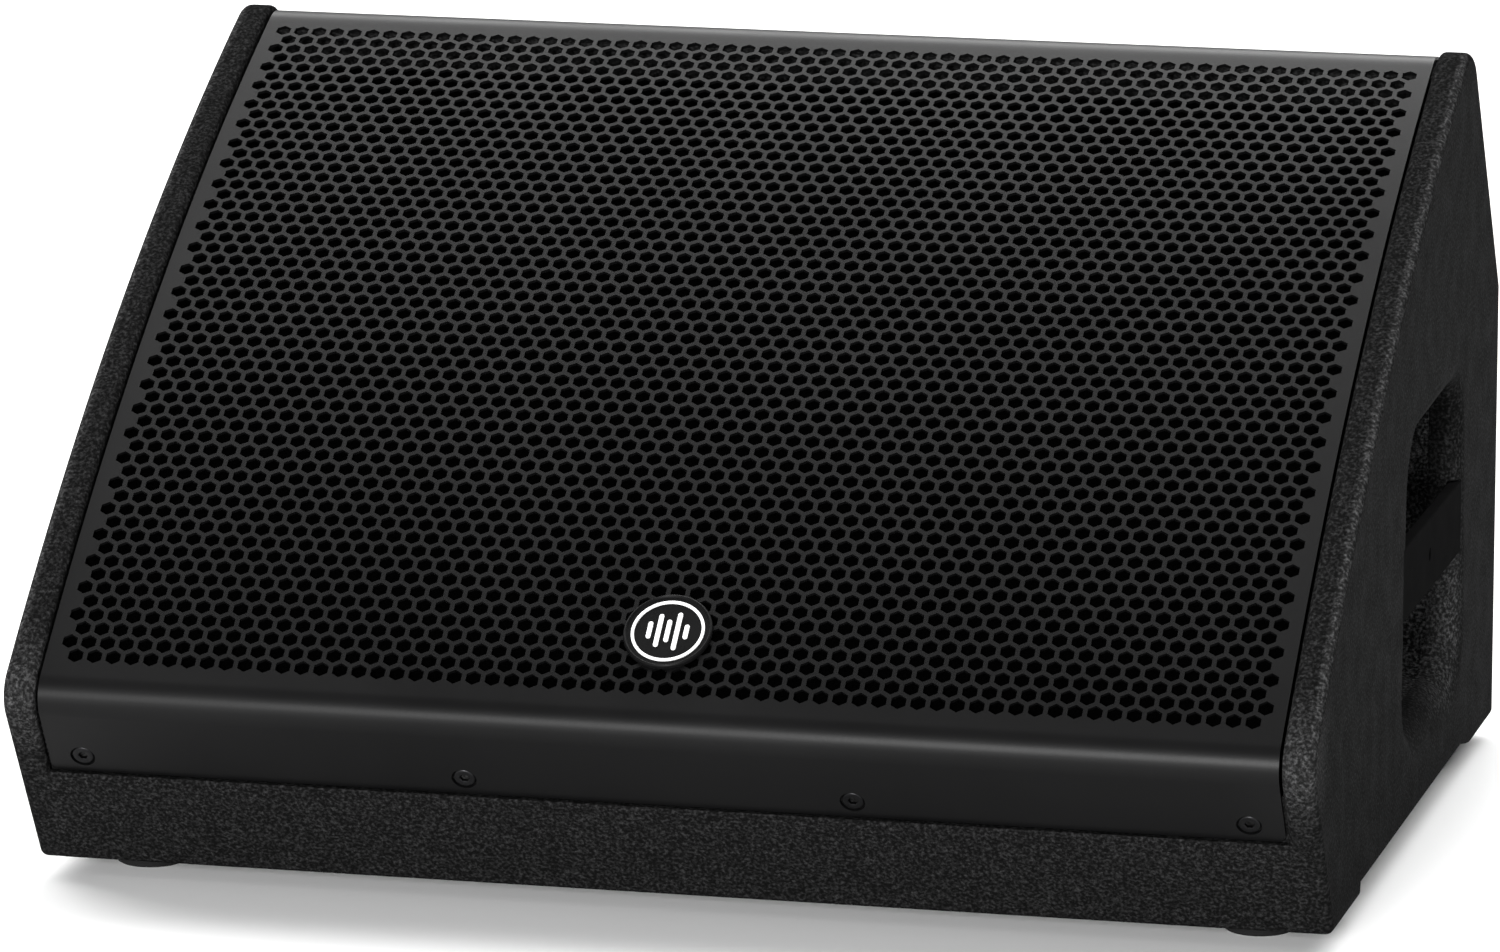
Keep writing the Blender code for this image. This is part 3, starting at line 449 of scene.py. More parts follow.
# ---- materials
class Nodes:
    """Small helper round one material's node tree; all textures use object coordinates in metres."""

    def __init__(self, name):
        self.material = bpy.data.materials.new(name)
        self.material.use_nodes = True
        self.tree = self.material.node_tree
        self.shader = self.tree.nodes["Principled BSDF"]
        self.place = self.new("ShaderNodeTexCoord", {}).outputs["Object"]

    def feed(self, node, inputs):
        """Gives each input its value, or links it to another node's socket."""
        for key, value in inputs.items():
            if isinstance(value, bpy.types.NodeSocket):
                self.tree.links.new(value, node.inputs[key])
            else:
                node.inputs[key].default_value = value

    def new(self, kind, inputs, **settings):
        node = self.tree.nodes.new(kind)
        for key, value in settings.items():
            setattr(node, key, value)
        self.feed(node, inputs)
        return node

    def stretch(self, *scale):
        return self.new("ShaderNodeMapping", {"Vector": self.place, "Scale": scale}).outputs["Vector"]

    def noise(self, scale, detail=2.0, roughness=0.5, where=None):
        inputs = {"Scale": scale, "Detail": detail, "Roughness": roughness, "Vector": where or self.place}
        return self.new("ShaderNodeTexNoise", inputs).outputs["Fac"]

    def cells(self, scale, smoothness):
        inputs = {"Scale": scale, "Smoothness": smoothness, "Vector": self.place}
        return self.new("ShaderNodeTexVoronoi", inputs, feature="SMOOTH_F1").outputs["Distance"]

    def range(self, source, low, high, to_low, to_high):
        inputs = {"Value": source, "From Min": low, "From Max": high, "To Min": to_low, "To Max": to_high}
        return self.new("ShaderNodeMapRange", inputs).outputs["Result"]

    def math(self, operation, a, b):
        return self.new("ShaderNodeMath", {0: a, 1: b}, operation=operation).outputs[0]

    def mix(self, factor, *colours):
        low, high = [c if isinstance(c, bpy.types.NodeSocket) else (*c, 1.0) for c in colours]
        inputs = {"A": low, "B": high, "Factor": factor}
        return self.new("ShaderNodeMix", inputs, data_type="RGBA").outputs["Result"]

    def weigh(self, a, share, b, rest):
        return self.math("ADD", self.math("MULTIPLY", a, share), self.math("MULTIPLY", b, rest))

    def bump(self, height, distance):
        return self.new("ShaderNodeBump", {"Distance": distance, "Height": height}).outputs["Normal"]

    def set(self, **values):
        self.feed(self.shader, {key.replace("_", " "): value for key, value in values.items()})

    def use(self, colour, roughness, **normal):
        self.set(Base_Color=colour, Roughness=roughness, **normal)
        return self.material

    def finish(self, tone, colours, gloss, roughness, relief, depth):
        """Colour, roughness and relief from patterns; tone and gloss are (pattern, from, to)."""
        colour = self.mix(self.range(*tone, 0.0, 1.0), *colours)
        return self.use(colour, self.range(*gloss, *roughness), Normal=self.bump(relief, depth))


def grey(value, blue=None):
    return (value, value, value if blue is None else blue)


def textured_paint(name, dark, light, depth=0.00030, highlight_mask=None):
    """Sprayed structured coating: pale grains of about a millimetre on a darker ground.

    An optional mask, a function of n, gives where the ground and grains are painted paler as a painted
    highlight.
    """
    n = Nodes(name)
    n.set(Specular_IOR_Level=0.005)
    grain = n.noise(640.0, 1.0, 0.5)
    fine = n.noise(1500.0, 2.0, 0.6)
    broad = n.noise(60.0, 2.0, 0.5)
    height = n.weigh(grain, 0.70, fine, 0.30)
    grade = n.math("POWER", n.range(height, 0.38, 0.72, 0.0, 1.0), 1.8)
    colour = n.mix(grade, dark, light)
    # painted highlight: the ground and grains are mixed paler where the mask is
    if highlight_mask is not None:
        paler = n.mix(grade, [PAINTED_HIGHLIGHT_DARK * c for c in dark], [PAINTED_HIGHLIGHT_LIGHT * c for c in light])
        colour = n.mix(highlight_mask(n), colour, paler)
    roughness = n.range(broad, 0.3, 0.7, 0.66, 0.80)
    return n.use(colour, roughness, Normal=n.bump(height, depth))


# Painted highlight: the side panels' paint is made paler at the nose, the outer front corner and the pocket's
# lower rear lip, where light catches them.
PAINTED_HIGHLIGHT_DARK = 3.2                  # how much paler the painted highlight makes the ground and grains
PAINTED_HIGHLIGHT_LIGHT = 3.6
PAINTED_HIGHLIGHT_NOSE = (-0.2390, 0.0990)
PAINTED_HIGHLIGHT_LIP = (HANDLE_Y + POCKET_HALF_Y, HANDLE_Z - 0.5 * POCKET_HALF_Z)


def painted_highlight_front(n):
    """Mask of the painted highlight: a side panel's nose, its outer front corner and the pocket's lower rear
    lip, painted paler where light catches them.
    """
    across, y, z = n.new("ShaderNodeSeparateXYZ", {"Vector": n.place}).outputs

    def distance(centre):
        run = n.math("POWER", n.math("SUBTRACT", y, centre[0]), 2.0)
        rise = n.math("POWER", n.math("SUBTRACT", z, centre[1]), 2.0)
        return n.math("SQRT", n.math("ADD", run, rise), 0.0)

    outward = n.math("ABSOLUTE", across, 0.0)
    near_nose = n.range(distance(PAINTED_HIGHLIGHT_NOSE), 0.006, 0.036, 0.60, 0.0)
    outermost = n.range(outward, 0.2950, 0.2976, 0.0, 1.0)
    at_front = n.range(distance(ARC_CENTRE), ARC_RADIUS - 0.0036, ARC_RADIUS - 0.0012, 0.0, 0.75)
    corner = n.math("MULTIPLY", outermost, at_front)
    at_lip = n.range(distance(PAINTED_HIGHLIGHT_LIP), 0.020, 0.080, 1.0, 0.0)
    lip = n.math("MULTIPLY", at_lip, n.range(outward, 0.2975, 0.2998, 1.0, 0.0))
    return n.math("MAXIMUM", n.math("MAXIMUM", near_nose, corner), lip)


def powder_coat(name, dark, light, low_rough, high_rough, depth=0.00002, specular=0.5):
    """Satin powder coat on steel: faint orange peel and slow changes in gloss."""
    n = Nodes(name)
    n.set(Specular_IOR_Level=specular)
    peel = n.noise(1100.0)
    slow = n.noise(14.0, 3.0, 0.6)
    gloss = (n.weigh(slow, 0.7, peel, 0.3), 0.35, 0.65)
    return n.finish((slow, 0.35, 0.65), (dark, light), gloss, (low_rough, high_rough), peel, depth)


def metal(name, dark, light, low_rough, high_rough, grain=(1.0, 1.0, 1.0), scale=900.0, depth=0.000008):
    n = Nodes(name)
    n.set(Metallic=1.0)
    lines = n.noise(scale, 3.0, 0.6, n.stretch(*grain))
    slow = n.noise(40.0, 3.0, 0.6)
    return n.finish((slow, 0.3, 0.7), (dark, light), (lines, 0.3, 0.7), (low_rough, high_rough), lines, depth)


def moulded(name, dark, light, low_rough, high_rough, grain=2600.0, depth=0.00002, specular=0.45):
    n = Nodes(name)
    n.set(Specular_IOR_Level=specular)
    if specular == 0.0:
        n.set(IOR=1.0)
    fine = n.noise(grain, 2.0, 0.6)
    slow = n.noise(60.0, 3.0, 0.6)
    return n.finish((slow, 0.3, 0.7), (dark, light), (slow, 0.3, 0.7), (low_rough, high_rough), fine, depth)


def open_foam(name):
    n = Nodes(name)
    n.set(Specular_IOR_Level=0.0)
    pores = n.cells(1400.0, 0.3)
    colours = (grey(0.0001), grey(0.0005))
    return n.finish((pores, 0.1, 0.6), colours, (pores, 0.0, 0.8), (0.9, 1.0), pores, 0.0003)


def woven(name, dark, light, scale=700.0):
    n = Nodes(name)
    n.set(Specular_IOR_Level=0.2)
    inputs = {"Scale": scale, "Distortion": 0.6, "Vector": n.place}
    waves = [n.new("ShaderNodeTexWave", inputs, bands_direction=way).outputs["Fac"] for way in "XY"]
    threads = n.math("MAXIMUM", *waves)
    roughness = n.range(threads, 0.0, 1.0, 0.8, 0.95)
    return n.use(n.mix(threads, dark, light), roughness, Normal=n.bump(threads, 0.0002))


PAINT = textured_paint("structured_paint", grey(0.0036), grey(0.0272, 0.0275))
# the side panels' paint carries a painted highlight at the nose, the outer front corner and the pocket's
# lower rear lip
PANEL_PAINT = textured_paint("panel_paint", grey(0.0034), grey(0.0250, 0.0253), highlight_mask=painted_highlight_front)
# Painted light: the pocket cup has the same structured paint, made paler to stand in for light on the
# pocket's lower wall.
LIT_POCKET_PAINT = textured_paint("pocket_paint_painted_light", grey(0.0050), grey(0.0900, 0.0908), 0.00036)
GRILLE_COLOURS = (grey(0.0021, 0.0022), grey(0.0028, 0.0029))
GRILLE = powder_coat("grille_powder_coat", *GRILLE_COLOURS, 0.35, 0.39, specular=0.106)
BAR = moulded("bar_coat_matt", grey(0.0062, 0.0063), grey(0.0080, 0.0081), 0.60, 0.70, 1500.0, 0.00001, 0.0)
PLATE = powder_coat("plate_powder_coat", grey(0.0120, 0.0122), grey(0.0160, 0.0163), 0.40, 0.52, 0.00003)
SCREW = metal("black_oxide", grey(0.012, 0.0125), grey(0.022, 0.023), 0.36, 0.48)
ZINC = metal("zinc_plate", (0.50, 0.51, 0.53), grey(0.62, 0.63), 0.25, 0.40)
NICKEL = metal("nickel_contacts", (0.60, 0.58, 0.53), (0.72, 0.70, 0.66), 0.18, 0.30)
BRUSHED = (1.0, 1.0, 0.05)
ANODISED = metal("black_anodised", grey(0.030, 0.032), grey(0.045, 0.048), 0.38, 0.52, BRUSHED, 1500.0)
CASTING = metal("black_casting", grey(0.055, 0.058), grey(0.085, 0.090), 0.50, 0.68, depth=0.00005)
FERRITE = moulded("ferrite", grey(0.030, 0.032), grey(0.055, 0.058), 0.65, 0.85, 900.0, 0.0001)
COPPER = metal("wound_copper", (0.50, 0.22, 0.10), (0.68, 0.33, 0.16), 0.25, 0.40, (1.0, 1.0, 12.0), 500.0)
RUBBER = moulded("foot_rubber", grey(0.0022, 0.0023), grey(0.0045, 0.0047), 0.72, 0.88, 1500.0, 0.00005, 0.25)
CONE = woven("doped_paper", grey(0.012, 0.013), grey(0.030, 0.032), 900.0)
CLOTH = woven("treated_cloth", (0.16, 0.11, 0.05), (0.30, 0.22, 0.12))
PLASTIC = moulded("moulded_black", grey(0.0085, 0.0090), grey(0.0130, 0.0136), 0.42, 0.58)
GLOSS = moulded("polished_black", grey(0.0045, 0.0048), grey(0.0065, 0.0068), 0.12, 0.20, 900.0, 0.000004)
LACQUER = (grey(0.0030, 0.0031), grey(0.0042, 0.0043))
BADGE_BLACK = moulded("badge_lacquer", *LACQUER, 0.34, 0.44, 900.0, 0.000004, 0.05)
BADGE_WHITE = moulded("badge_print", grey(0.74), grey(0.84), 0.30, 0.42, 1500.0, 0.000008)
PRINT = moulded("panel_print", grey(0.52), grey(0.66), 0.50, 0.65, 1800.0, 0.00001)
LENS = moulded("lamp_lens", (0.03, 0.35, 0.09), (0.05, 0.50, 0.13), 0.12, 0.20, 900.0, 0.00001)
SOLDER_MASK = moulded("solder_mask", (0.008, 0.060, 0.025), (0.014, 0.095, 0.040), 0.30, 0.45, 500.0, 0.00004)
FOAM_BLACK = open_foam("open_cell_foam")


# ---- cabinet
def panel_outline():
    relief = FOOT_SHOW + RELIEF_RISE
    tip = nose(0.0)
    top = apex(0.0)
    corners = [((TOE_Y, FOOT_SHOW), LOW_CORNER), (tip, NOSE_RADIUS)]
    corners += [(point, 0.0) for point in arc_run(0.0, tip, top, 56, 0.026)]
    corners += [
        (top, APEX_RADIUS),
        ((REAR_Y - PROUD, REAR_TOP_Z), REAR_CORNER),
        ((REAR_Y - PROUD, FOOT_SHOW), LOW_CORNER),
        ((RELIEF_REAR_Y + RELIEF_RAMP, FOOT_SHOW), 0.0),
        ((RELIEF_REAR_Y, relief), 0.0),
        ((RELIEF_FRONT_Y, relief), 0.0),
        ((RELIEF_FRONT_Y - 0.0015, FOOT_SHOW), 0.0),
    ]
    return rounded(corners, 9)


def pocket_outline():
    """The grab pocket's opening: a square with large corners, most of all at the upper front."""
    radii = (0.026, 0.024, 0.020, 0.028)
    return rounded_rectangle((HANDLE_Y, HANDLE_Z), POCKET_HALF_Y, POCKET_HALF_Z, radii, 9)


def lip_stack(outline, inner, outer, steps=8):
    """Wall of the pocket's opening; its lip is small at the upper front and large at the lower rear."""
    reach = []
    for a, b in outline:
        lean = ((a - HANDLE_Y) / POCKET_HALF_Y * 0.75 - (b - HANDLE_Z) / POCKET_HALF_Z) / 1.75
        reach.append(LIP + (LIP_WIDE - LIP) * min(max(lean * 0.6 + 0.5, 0.0), 1.0))
    away = inset_outline(outline, -1.0)
    layers = [[(inner, a, b) for a, b in outline]]
    for k in range(steps + 1):
        turn = pi / 2 * k / steps
        layer = []
        for (a, b), (c, d), r in zip(outline, away, reach):
            out = r * (1 - cos(turn))
            sunk = min(r, LIP + (LIP_DEEP - LIP) * (r - LIP) / (LIP_WIDE - LIP)) * (1 - sin(turn))
            layer.append((outer - copysign(sunk, outer), a + (c - a) * out, b + (d - b) * out))
        layers.append(layer)
    return layers


def side_panel(name, side):
    outer = side * WIDTH / 2
    inner = side * INNER_X
    shell = rounded_stack(panel_outline(), inner, outer, along_x, EDGE, OUTER_EDGE, 5)
    panel = layered(name + "_shell", shell, holes=[lip_stack(pocket_outline(), inner, outer)])
    coat(panel, PANEL_PAINT)
    near, far = sorted((side * (WIDTH / 2 - BAR_THICK - 0.0006), side * (WIDTH / 2 + 0.004)))
    half_y = NOTCH_LENGTH / 2
    half_z = BAR_HEIGHT / 2 + 0.0009
    low = (near, HANDLE_Y - half_y, BAR_Z - half_z)
    notch = block("notch", low, (far, HANDLE_Y + half_y, BAR_Z + half_z), 0.0012)
    cut(panel, coat(notch, PANEL_PAINT))
    return stands_for(panel, "cabinet_paint", name)


def grab_pocket(name, side):
    """Moulded cup that carries on from the panel's opening to a rounded floor."""
    mouth = INNER_X - 0.0002
    depth = 0.055
    narrowing = 0.040
    steps = 22
    opening = pocket_outline()
    centre = Vector((HANDLE_Y, HANDLE_Z))
    layers = [[(side * mouth, a, b) for a, b in inset_outline(opening, -0.009)]]
    for k in range(steps + 1):
        turn = pi / 2 * k / steps
        x = side * (mouth - depth * sin(turn) ** 1.15)
        scale = 1 - narrowing * (1 - cos(turn)) ** 0.92 / POCKET_HALF_Y
        layers.append([(x, *(centre + (Vector(point) - centre) * scale)) for point in opening])
    cup = layered(name + "_cup", layers, close_low=False)
    wall = cup.modifiers.new("wall", "SOLIDIFY")
    wall.thickness = 0.0022
    wall.offset = -1.0
    work = bmesh.new()
    work.from_mesh(cup.data)
    floor = max(work.faces, key=lambda face: -abs(face.calc_center_median().x))
    if floor.normal.x * side < 0:
        bmesh.ops.reverse_faces(work, faces=work.faces)
    work.to_mesh(cup.data)
    work.free()
    settle(cup)
    # the cup's paler paint is painted light on the pocket's lower wall
    return stands_for(coat(cup, LIT_POCKET_PAINT), "pocket_coat", name, degrees=70.0)


def grab_bar(name, side):
    outer = side * (WIDTH / 2 - 0.0003)
    inner = outer - side * BAR_THICK
    outline = rounded_rectangle((HANDLE_Y, BAR_Z), BAR_LENGTH / 2, BAR_HEIGHT / 2, 0.0010, 3)
    hole = circle((BAR_HOLE_Y, BAR_Z), BAR_HOLE_RADIUS - 0.0004, 32)
    bar = plate(name + "_steel", outline, inner, outer, along_x, 0.0009, [hole], 3, 0.0004)
    return stands_for(coat(bar, BAR), "bar_coat", name)


def board(name, outline, spread):
    piece = layered(name, rounded_stack(outline, -spread, spread, along_x, 0.0, 0.0))
    return coat(piece, PAINT)


def kick_board():
    step_z = FLANGE_BOTTOM_Z - 0.0011
    inner = PLY + SHEET_BED
    outline = [
        (lower_face(-PROUD, -0.00005), LOW_CORNER),
        (lower_face_at(-PROUD, step_z), 0.0007),
        (lower_face_at(SHEET_BED, step_z + 0.0004), 0.0),
        (lower_face_at(SHEET_BED, KICK_TOP_Z), 0.0),
        (lower_face_at(inner, KICK_TOP_Z), 0.0),
        (lower_face_at(inner, FOOT_SHOW), 0.0),
    ]
    piece = board("kick_board_face", rounded(outline, 7), INNER_X + OVERLAP)
    return stands_for(piece, "cabinet_paint", "kick_board")


def rear_boards():
    """Upright board with the amplifier's window, and the slanted board above it."""
    fold = [((REAR_Y, FOOT_SHOW), 0.0), ((REAR_Y, REAR_TOP_Z), REAR_CORNER), (rear_face(0.0, 0.05), 0.0)]
    corner = rounded(fold, 8)[1:-1]
    half = len(corner) // 2
    inner = REAR_Y - PLY
    mitre_z = REAR_TOP_Z - 0.008
    outline = [(inner, FOOT_SHOW + 0.0006)]
    for turn in [pi / 2 * k / 7 for k in range(8)]:
        y = REAR_Y - LOW_CORNER + LOW_CORNER * sin(turn)
        outline.append((y, FOOT_SHOW + LOW_CORNER - LOW_CORNER * cos(turn)))
    outline += corner[: half + 1] + [(inner, mitre_z)]
    spread = INNER_X + OVERLAP
    upright = board("rear_board_face", outline, spread)
    window = rounded_rectangle((0.0, WINDOW_Z), WINDOW_HALF_X, WINDOW_HALF_Z, 0.010, 9)
    opening = layered("opening", [[(a, y, b) for a, b in window] for y in (inner - 0.01, REAR_Y + 0.01)])
    cut(upright, coat(opening, PAINT))
    edges = upright.modifiers.new("edges", "BEVEL")
    edges.width = 0.0022
    edges.segments = 3
    edges.limit_method = "ANGLE"
    edges.angle_limit = radians(60.0)
    settle(upright)
    stands_for(upright, "cabinet_paint", "rear_board")
    bed = rear_lap_end(SHEET_BED, 0.0014)
    back = along(bed, UP_REAR, 0.006)
    outline = corner[half:] + [
        rear_lap_end(0.0, 0.0014),
        bed,
        back,
        along(back, IN_REAR, PLY - SHEET_BED),
        (inner, mitre_z + 0.0004),
    ]
    stands_for(board("rear_slope_face", outline, spread), "cabinet_paint", "rear_slope_board")


def cabinet():
    for name, side in (("left", -1), ("right", 1)):
        side_panel("side_panel_" + name, side)
        grab_pocket("grab_pocket_" + name, side)
        grab_bar("grab_bar_" + name, side)
    kick_board()
    rear_boards()


# ---- grille
def shell_line(inset, steps):
    tip = nose(inset)
    top = apex(inset)
    corners = [(lower_face_at(inset, FLANGE_BOTTOM_Z), 0.0), (tip, NOSE_RADIUS - inset)]
    corners += [(point, 0.0) for point in arc_run(inset, tip, top, steps, 0.021)]
    corners += [(top, APEX_RADIUS - inset), (rear_lap_end(inset), 0.0)]
    return rounded(corners, 14)


class SheetLine:
    """The folded sheet's outer line, walked by its length from the flange's lower edge."""

    def __init__(self):
        self.points = [Vector(point) for point in shell_line(SHEET_RECESS, 240)]
        self.lengths = [0.0]
        for a, b in zip(self.points, self.points[1:]):
            self.lengths.append(self.lengths[-1] + (b - a).length)
        radius = ARC_RADIUS - SHEET_RECESS
        origin = Vector(arc_point(radius, LATTICE_ANGLE))
        nearest = min(range(len(self.points)), key=lambda i: (self.points[i] - origin).length)
        step = (self.points[nearest + 1] - self.points[nearest]).normalized()
        self.origin = self.lengths[nearest] + (origin - self.points[nearest]).dot(step)
        self.total = self.lengths[-1]
        self.normals = []
        for i in range(len(self.points)):
            tangent = self.points[min(i + 1, len(self.points) - 1)] - self.points[max(i - 1, 0)]
            tangent.normalize()
            self.normals.append(Vector((-tangent.y, tangent.x)))

    def at(self, length):
        length = min(max(length, 0.0), self.total)
        high = min(bisect.bisect_right(self.lengths, length), len(self.lengths) - 1)
        low = high - 1
        share = (length - self.lengths[low]) / (self.lengths[high] - self.lengths[low])
        point = self.points[low].lerp(self.points[high], share)
        normal = self.normals[low].lerp(self.normals[high], share).normalized()
        return point, normal


LINE = SheetLine()


def screw_place(x):
    y, z = lower_face_at(SHEET_RECESS, GRILLE_SCREW_Z)
    return Matrix.Translation((x, y, z)) @ Matrix.Rotation(pi / 2 + LOWER_FACE_LEAN, 4, "X")


def flat_sheet(work, verts):
    """Fills the bmesh with one layer of the unrolled sheet: x across, y along the sheet's line."""
    half = INNER_X - SHEET_SIDE_GAP

    def vert(x, y):
        x = max(-half, min(half, x))
        key = (round(x * 1e6), round(y * 1e6))
        if key not in verts:
            verts[key] = work.verts.new((x, y, 0.0))
        return verts[key]

    def face(points):
        loop = []
        for point in points:
            if point not in loop:
                loop.append(point)
        if len(loop) > 2 and work.faces.get(loop) is None:
            work.faces.new(loop)

    corner = HOLE_PITCH / sqrt(3)
    bottom = LINE.origin + (FIRST_ROW - 1) * ROW_STEP
    top = LINE.origin + (LAST_ROW + 1) * ROW_STEP
    spokes = [(cos(radians(30 + 60 * k)), sin(radians(30 + 60 * k))) for k in range(6)]
    for row in range(FIRST_ROW - 1, LAST_ROW + 2):
        shift = 0.0 if row % 2 else 0.5
        reach = HOLES_HALF_WIDE if row % 2 else HOLES_HALF_WIDE - 0.5
        middle = LINE.origin + row * ROW_STEP
        for step in range(-HOLES_HALF_WIDE - 3, HOLES_HALF_WIDE + 4):
            x = (step + shift) * HOLE_PITCH
            ring = []
            for a, b in spokes:
                height = min(max(middle + b * corner, bottom), top)
                ring.append(vert(x + a * corner, height))
            if len(set(ring)) < 3:
                continue
            if FIRST_ROW <= row <= LAST_ROW and abs(step + shift) < reach + 0.1:
                rim = [vert(x + a * corner * HOLE_SHARE, middle + b * corner * HOLE_SHARE) for a, b in spokes]
                for k in range(6):
                    m = (k + 1) % 6
                    face([ring[k], ring[m], rim[m], rim[k]])
            else:
                face(ring)
    bands = 26
    for level, end in ((bottom, flange_top()), (top, LINE.total)):
        columns = sorted({v.co.x for key, v in verts.items() if key[1] == round(level * 1e6)})
        levels = [level + (end - level) * k / bands for k in range(bands + 1)]
        for low, high in zip(levels, levels[1:]):
            for a, b in zip(columns, columns[1:]):
                face([vert(a, low), vert(b, low), vert(b, high), vert(a, high)])


def flange_top():
    """Length at which the straight flange meets the nose's fold."""
    return (LINE.points[1] - LINE.points[0]).length


def grille():
    work = bmesh.new()
    verts = {}
    flat_sheet(work, verts)
    top = flange_top()
    half = INNER_X - SHEET_SIDE_GAP
    upper = sorted((v for key, v in verts.items() if key[1] == round(top * 1e6)), key=lambda v: v.co.x)
    radius = 0.0042
    turns = [pi / 2 * k / 5 for k in range(6)]
    right = [(half - radius + radius * cos(t), radius - radius * sin(t)) for t in turns]
    left = [(-a, b) for a, b in reversed(right)]
    loop = upper + [work.verts.new((a, b, 0.0)) for a, b in right + left]
    edges = []
    for a, b in zip(loop, loop[1:] + loop[:1]):
        edges.append(work.edges.get((a, b)) or work.edges.new((a, b)))
    screw_y = (Vector(lower_face_at(SHEET_RECESS, GRILLE_SCREW_Z)) - LINE.points[0]).length
    for x in GRILLE_SCREW_X:
        hole = [work.verts.new((a, b, 0.0)) for a, b in circle((x, screw_y), 0.0058, 28)]
        edges += [work.edges.new((a, b)) for a, b in zip(hole, hole[1:] + hole[:1])]
    bmesh.ops.triangle_fill(work, edges=edges, use_beauty=True, normal=(0, 0, 1))
    work.verts.index_update()
    front = []
    back = []
    for v in work.verts:
        point, normal = LINE.at(v.co.y)
        front.append((v.co.x, point.x, point.y))
        inner = point - normal * SHEET
        back.append((v.co.x, inner.x, inner.y))
    count = len(front)
    faces = []
    for f in work.faces:
        loop = [v.index for v in f.verts]
        if f.normal.z < 0 or f.calc_area() < 1e-12:
            loop.reverse()
        faces.append(loop)
        faces.append([i + count for i in reversed(loop)])
    owned = {}
    for loop in faces[::2]:
        owned.update(dict.fromkeys(zip(loop, loop[1:] + loop[:1])))
    for a, b in owned:
        if (b, a) not in owned:
            faces.append([b, a, a + count, b + count])
    work.free()
    mesh = bpy.data.meshes.new("grille_perforated")
    mesh.from_pydata(front + back, [], faces)
    mesh.update()
    piece = add("grille_perforated", mesh)
    stands_for(coat(piece, GRILLE), "grille_coat", "grille", degrees=35.0)


def grille_screw(number, x):
    """Flat-head screw with a hexagon socket, a little below the flange's face."""
    head = 0.0051
    profile = [
        (0.0, -0.0032), (0.0019, -0.0030), (0.0020, -0.0007), (0.0026, -0.0004), (0.0043, -0.0003),
        (head - 0.0003, -0.0005), (head, -0.0010), (0.0026, -0.0040), (0.0, -0.0040),
    ]
    place = screw_place(x)
    piece = coat(turned("grille_screw_%d_head" % number, profile, place, 36), SCREW)
    key = turned("key", [(0.0, -0.0034), (0.0023, -0.0034), (0.0023, 0.0010), (0.0, 0.0010)], place, 6)
    cut(piece, coat(key, SCREW))
    return stands_for(piece, "black_screw", "grille_screw_%d" % number)


def badge():
    """Round badge with a plain ring and a row of level bars."""
    radius = ARC_RADIUS - SHEET_RECESS
    angle = arc_angle(nose(SHEET_RECESS)) - BADGE_FROM_NOSE / radius
    y, z = arc_point(radius, angle)
    place = Matrix.Translation((0.0, y, z)) @ Matrix.Rotation(angle - pi / 2, 4, "X")
    r = BADGE_RADIUS
    cup = [
        (0.0, 0.0014), (0.0160, 0.0014), (0.0186, 0.0016), (0.0190, 0.0022), (0.0194, 0.0024),
        (r - 0.0004, 0.0022), (r, 0.0016), (r, 0.0002), (0.0, 0.0002),
    ]
    base = coat(turned("badge_cup", cup, place, 72), BADGE_BLACK)
    stands_for(base, "badge_black", "badge_base")
    ring = [
        (0.0153, 0.00135), (0.0154, 0.0019), (0.0158, 0.0021),
        (0.0163, 0.0021), (0.0167, 0.0019), (0.0168, 0.00135),
    ]
    emblem = [coat(turned("ring", ring, place, 72), BADGE_WHITE)]
    for i, height in enumerate((0.0046, 0.0090, 0.0061, 0.0103, 0.0039)):
        x = (i - 2) * 0.0042
        outline = rounded_rectangle((x, 0.0), 0.0011, height, 0.00108, 4)
        bar = layered("bar", rounded_stack(outline, 0.0012, 0.0020, along_z, 0.0, 0.0002, 2))
        emblem.append(coat(bar, BADGE_WHITE, place))
    stands_for(merged("badge_emblem", *emblem), "badge_face", "badge_face")


def foam():
    """Open-cell foam behind the grille, softly crowned and thinner at its edges."""
    first = meet_arc(lower_face(0.0215), UP_LOWER, ARC_RADIUS - SHEET_BED)
    last = meet_arc(rear_face(0.055), UP_REAR, ARC_RADIUS - SHEET_BED)
    centre = Vector(ARC_CENTRE)
    rows = [first] + arc_run(SHEET_BED, first, last, 40) + [last]
    work = bmesh.new()
    half = INNER_X - 0.0006
    columns = 60
    grids = []
    for level in (0.0, FOAM_THICK):
        grid = []
        for j, point in enumerate(rows):
            line = []
            for i in range(columns + 1):
                x = -half + 2 * half * i / columns
                edge = min(i, columns - i, j, len(rows) - 1 - j)
                pull = 0.0 if level else 0.0012 * max(0.0, 1 - edge / 2)
                spoke = Vector(point) - centre
                place = centre + spoke * (1 - (level + pull) / spoke.length)
                line.append(work.verts.new((x, place.x, place.y)))
            grid.append(line)
        grids.append(grid)
    for grid in grids:
        for a, b in zip(grid, grid[1:]):
            for i in range(columns):
                work.faces.new((a[i], a[i + 1], b[i + 1], b[i]))
    border, below = (
        grid[0] + [row[-1] for row in grid[1:]] + grid[-1][-2::-1] + [row[0] for row in grid[-2:0:-1]]
        for grid in grids
    )
    for i in range(len(border)):
        j = (i + 1) % len(border)
        work.faces.new((border[i], border[j], below[j], below[i]))
    bmesh.ops.recalc_face_normals(work, faces=work.faces)
    piece = add("grille_foam_pad", to_mesh("grille_foam_pad", work))
    stands_for(coat(piece, FOAM_BLACK), "grille_foam", "grille_foam", degrees=60.0)


def grille_group():
    grille()
    for number, x in enumerate(GRILLE_SCREW_X, 1):
        grille_screw(number, x)
    badge()
    foam()


# ---- feet
def cross_slot(screw, reach, half, low, high, place, material):
    sizes = ((reach, half), (half, reach))
    return cut(screw, *[coat(upright_block("slot", a, b, low, high, place), material) for a, b in sizes])


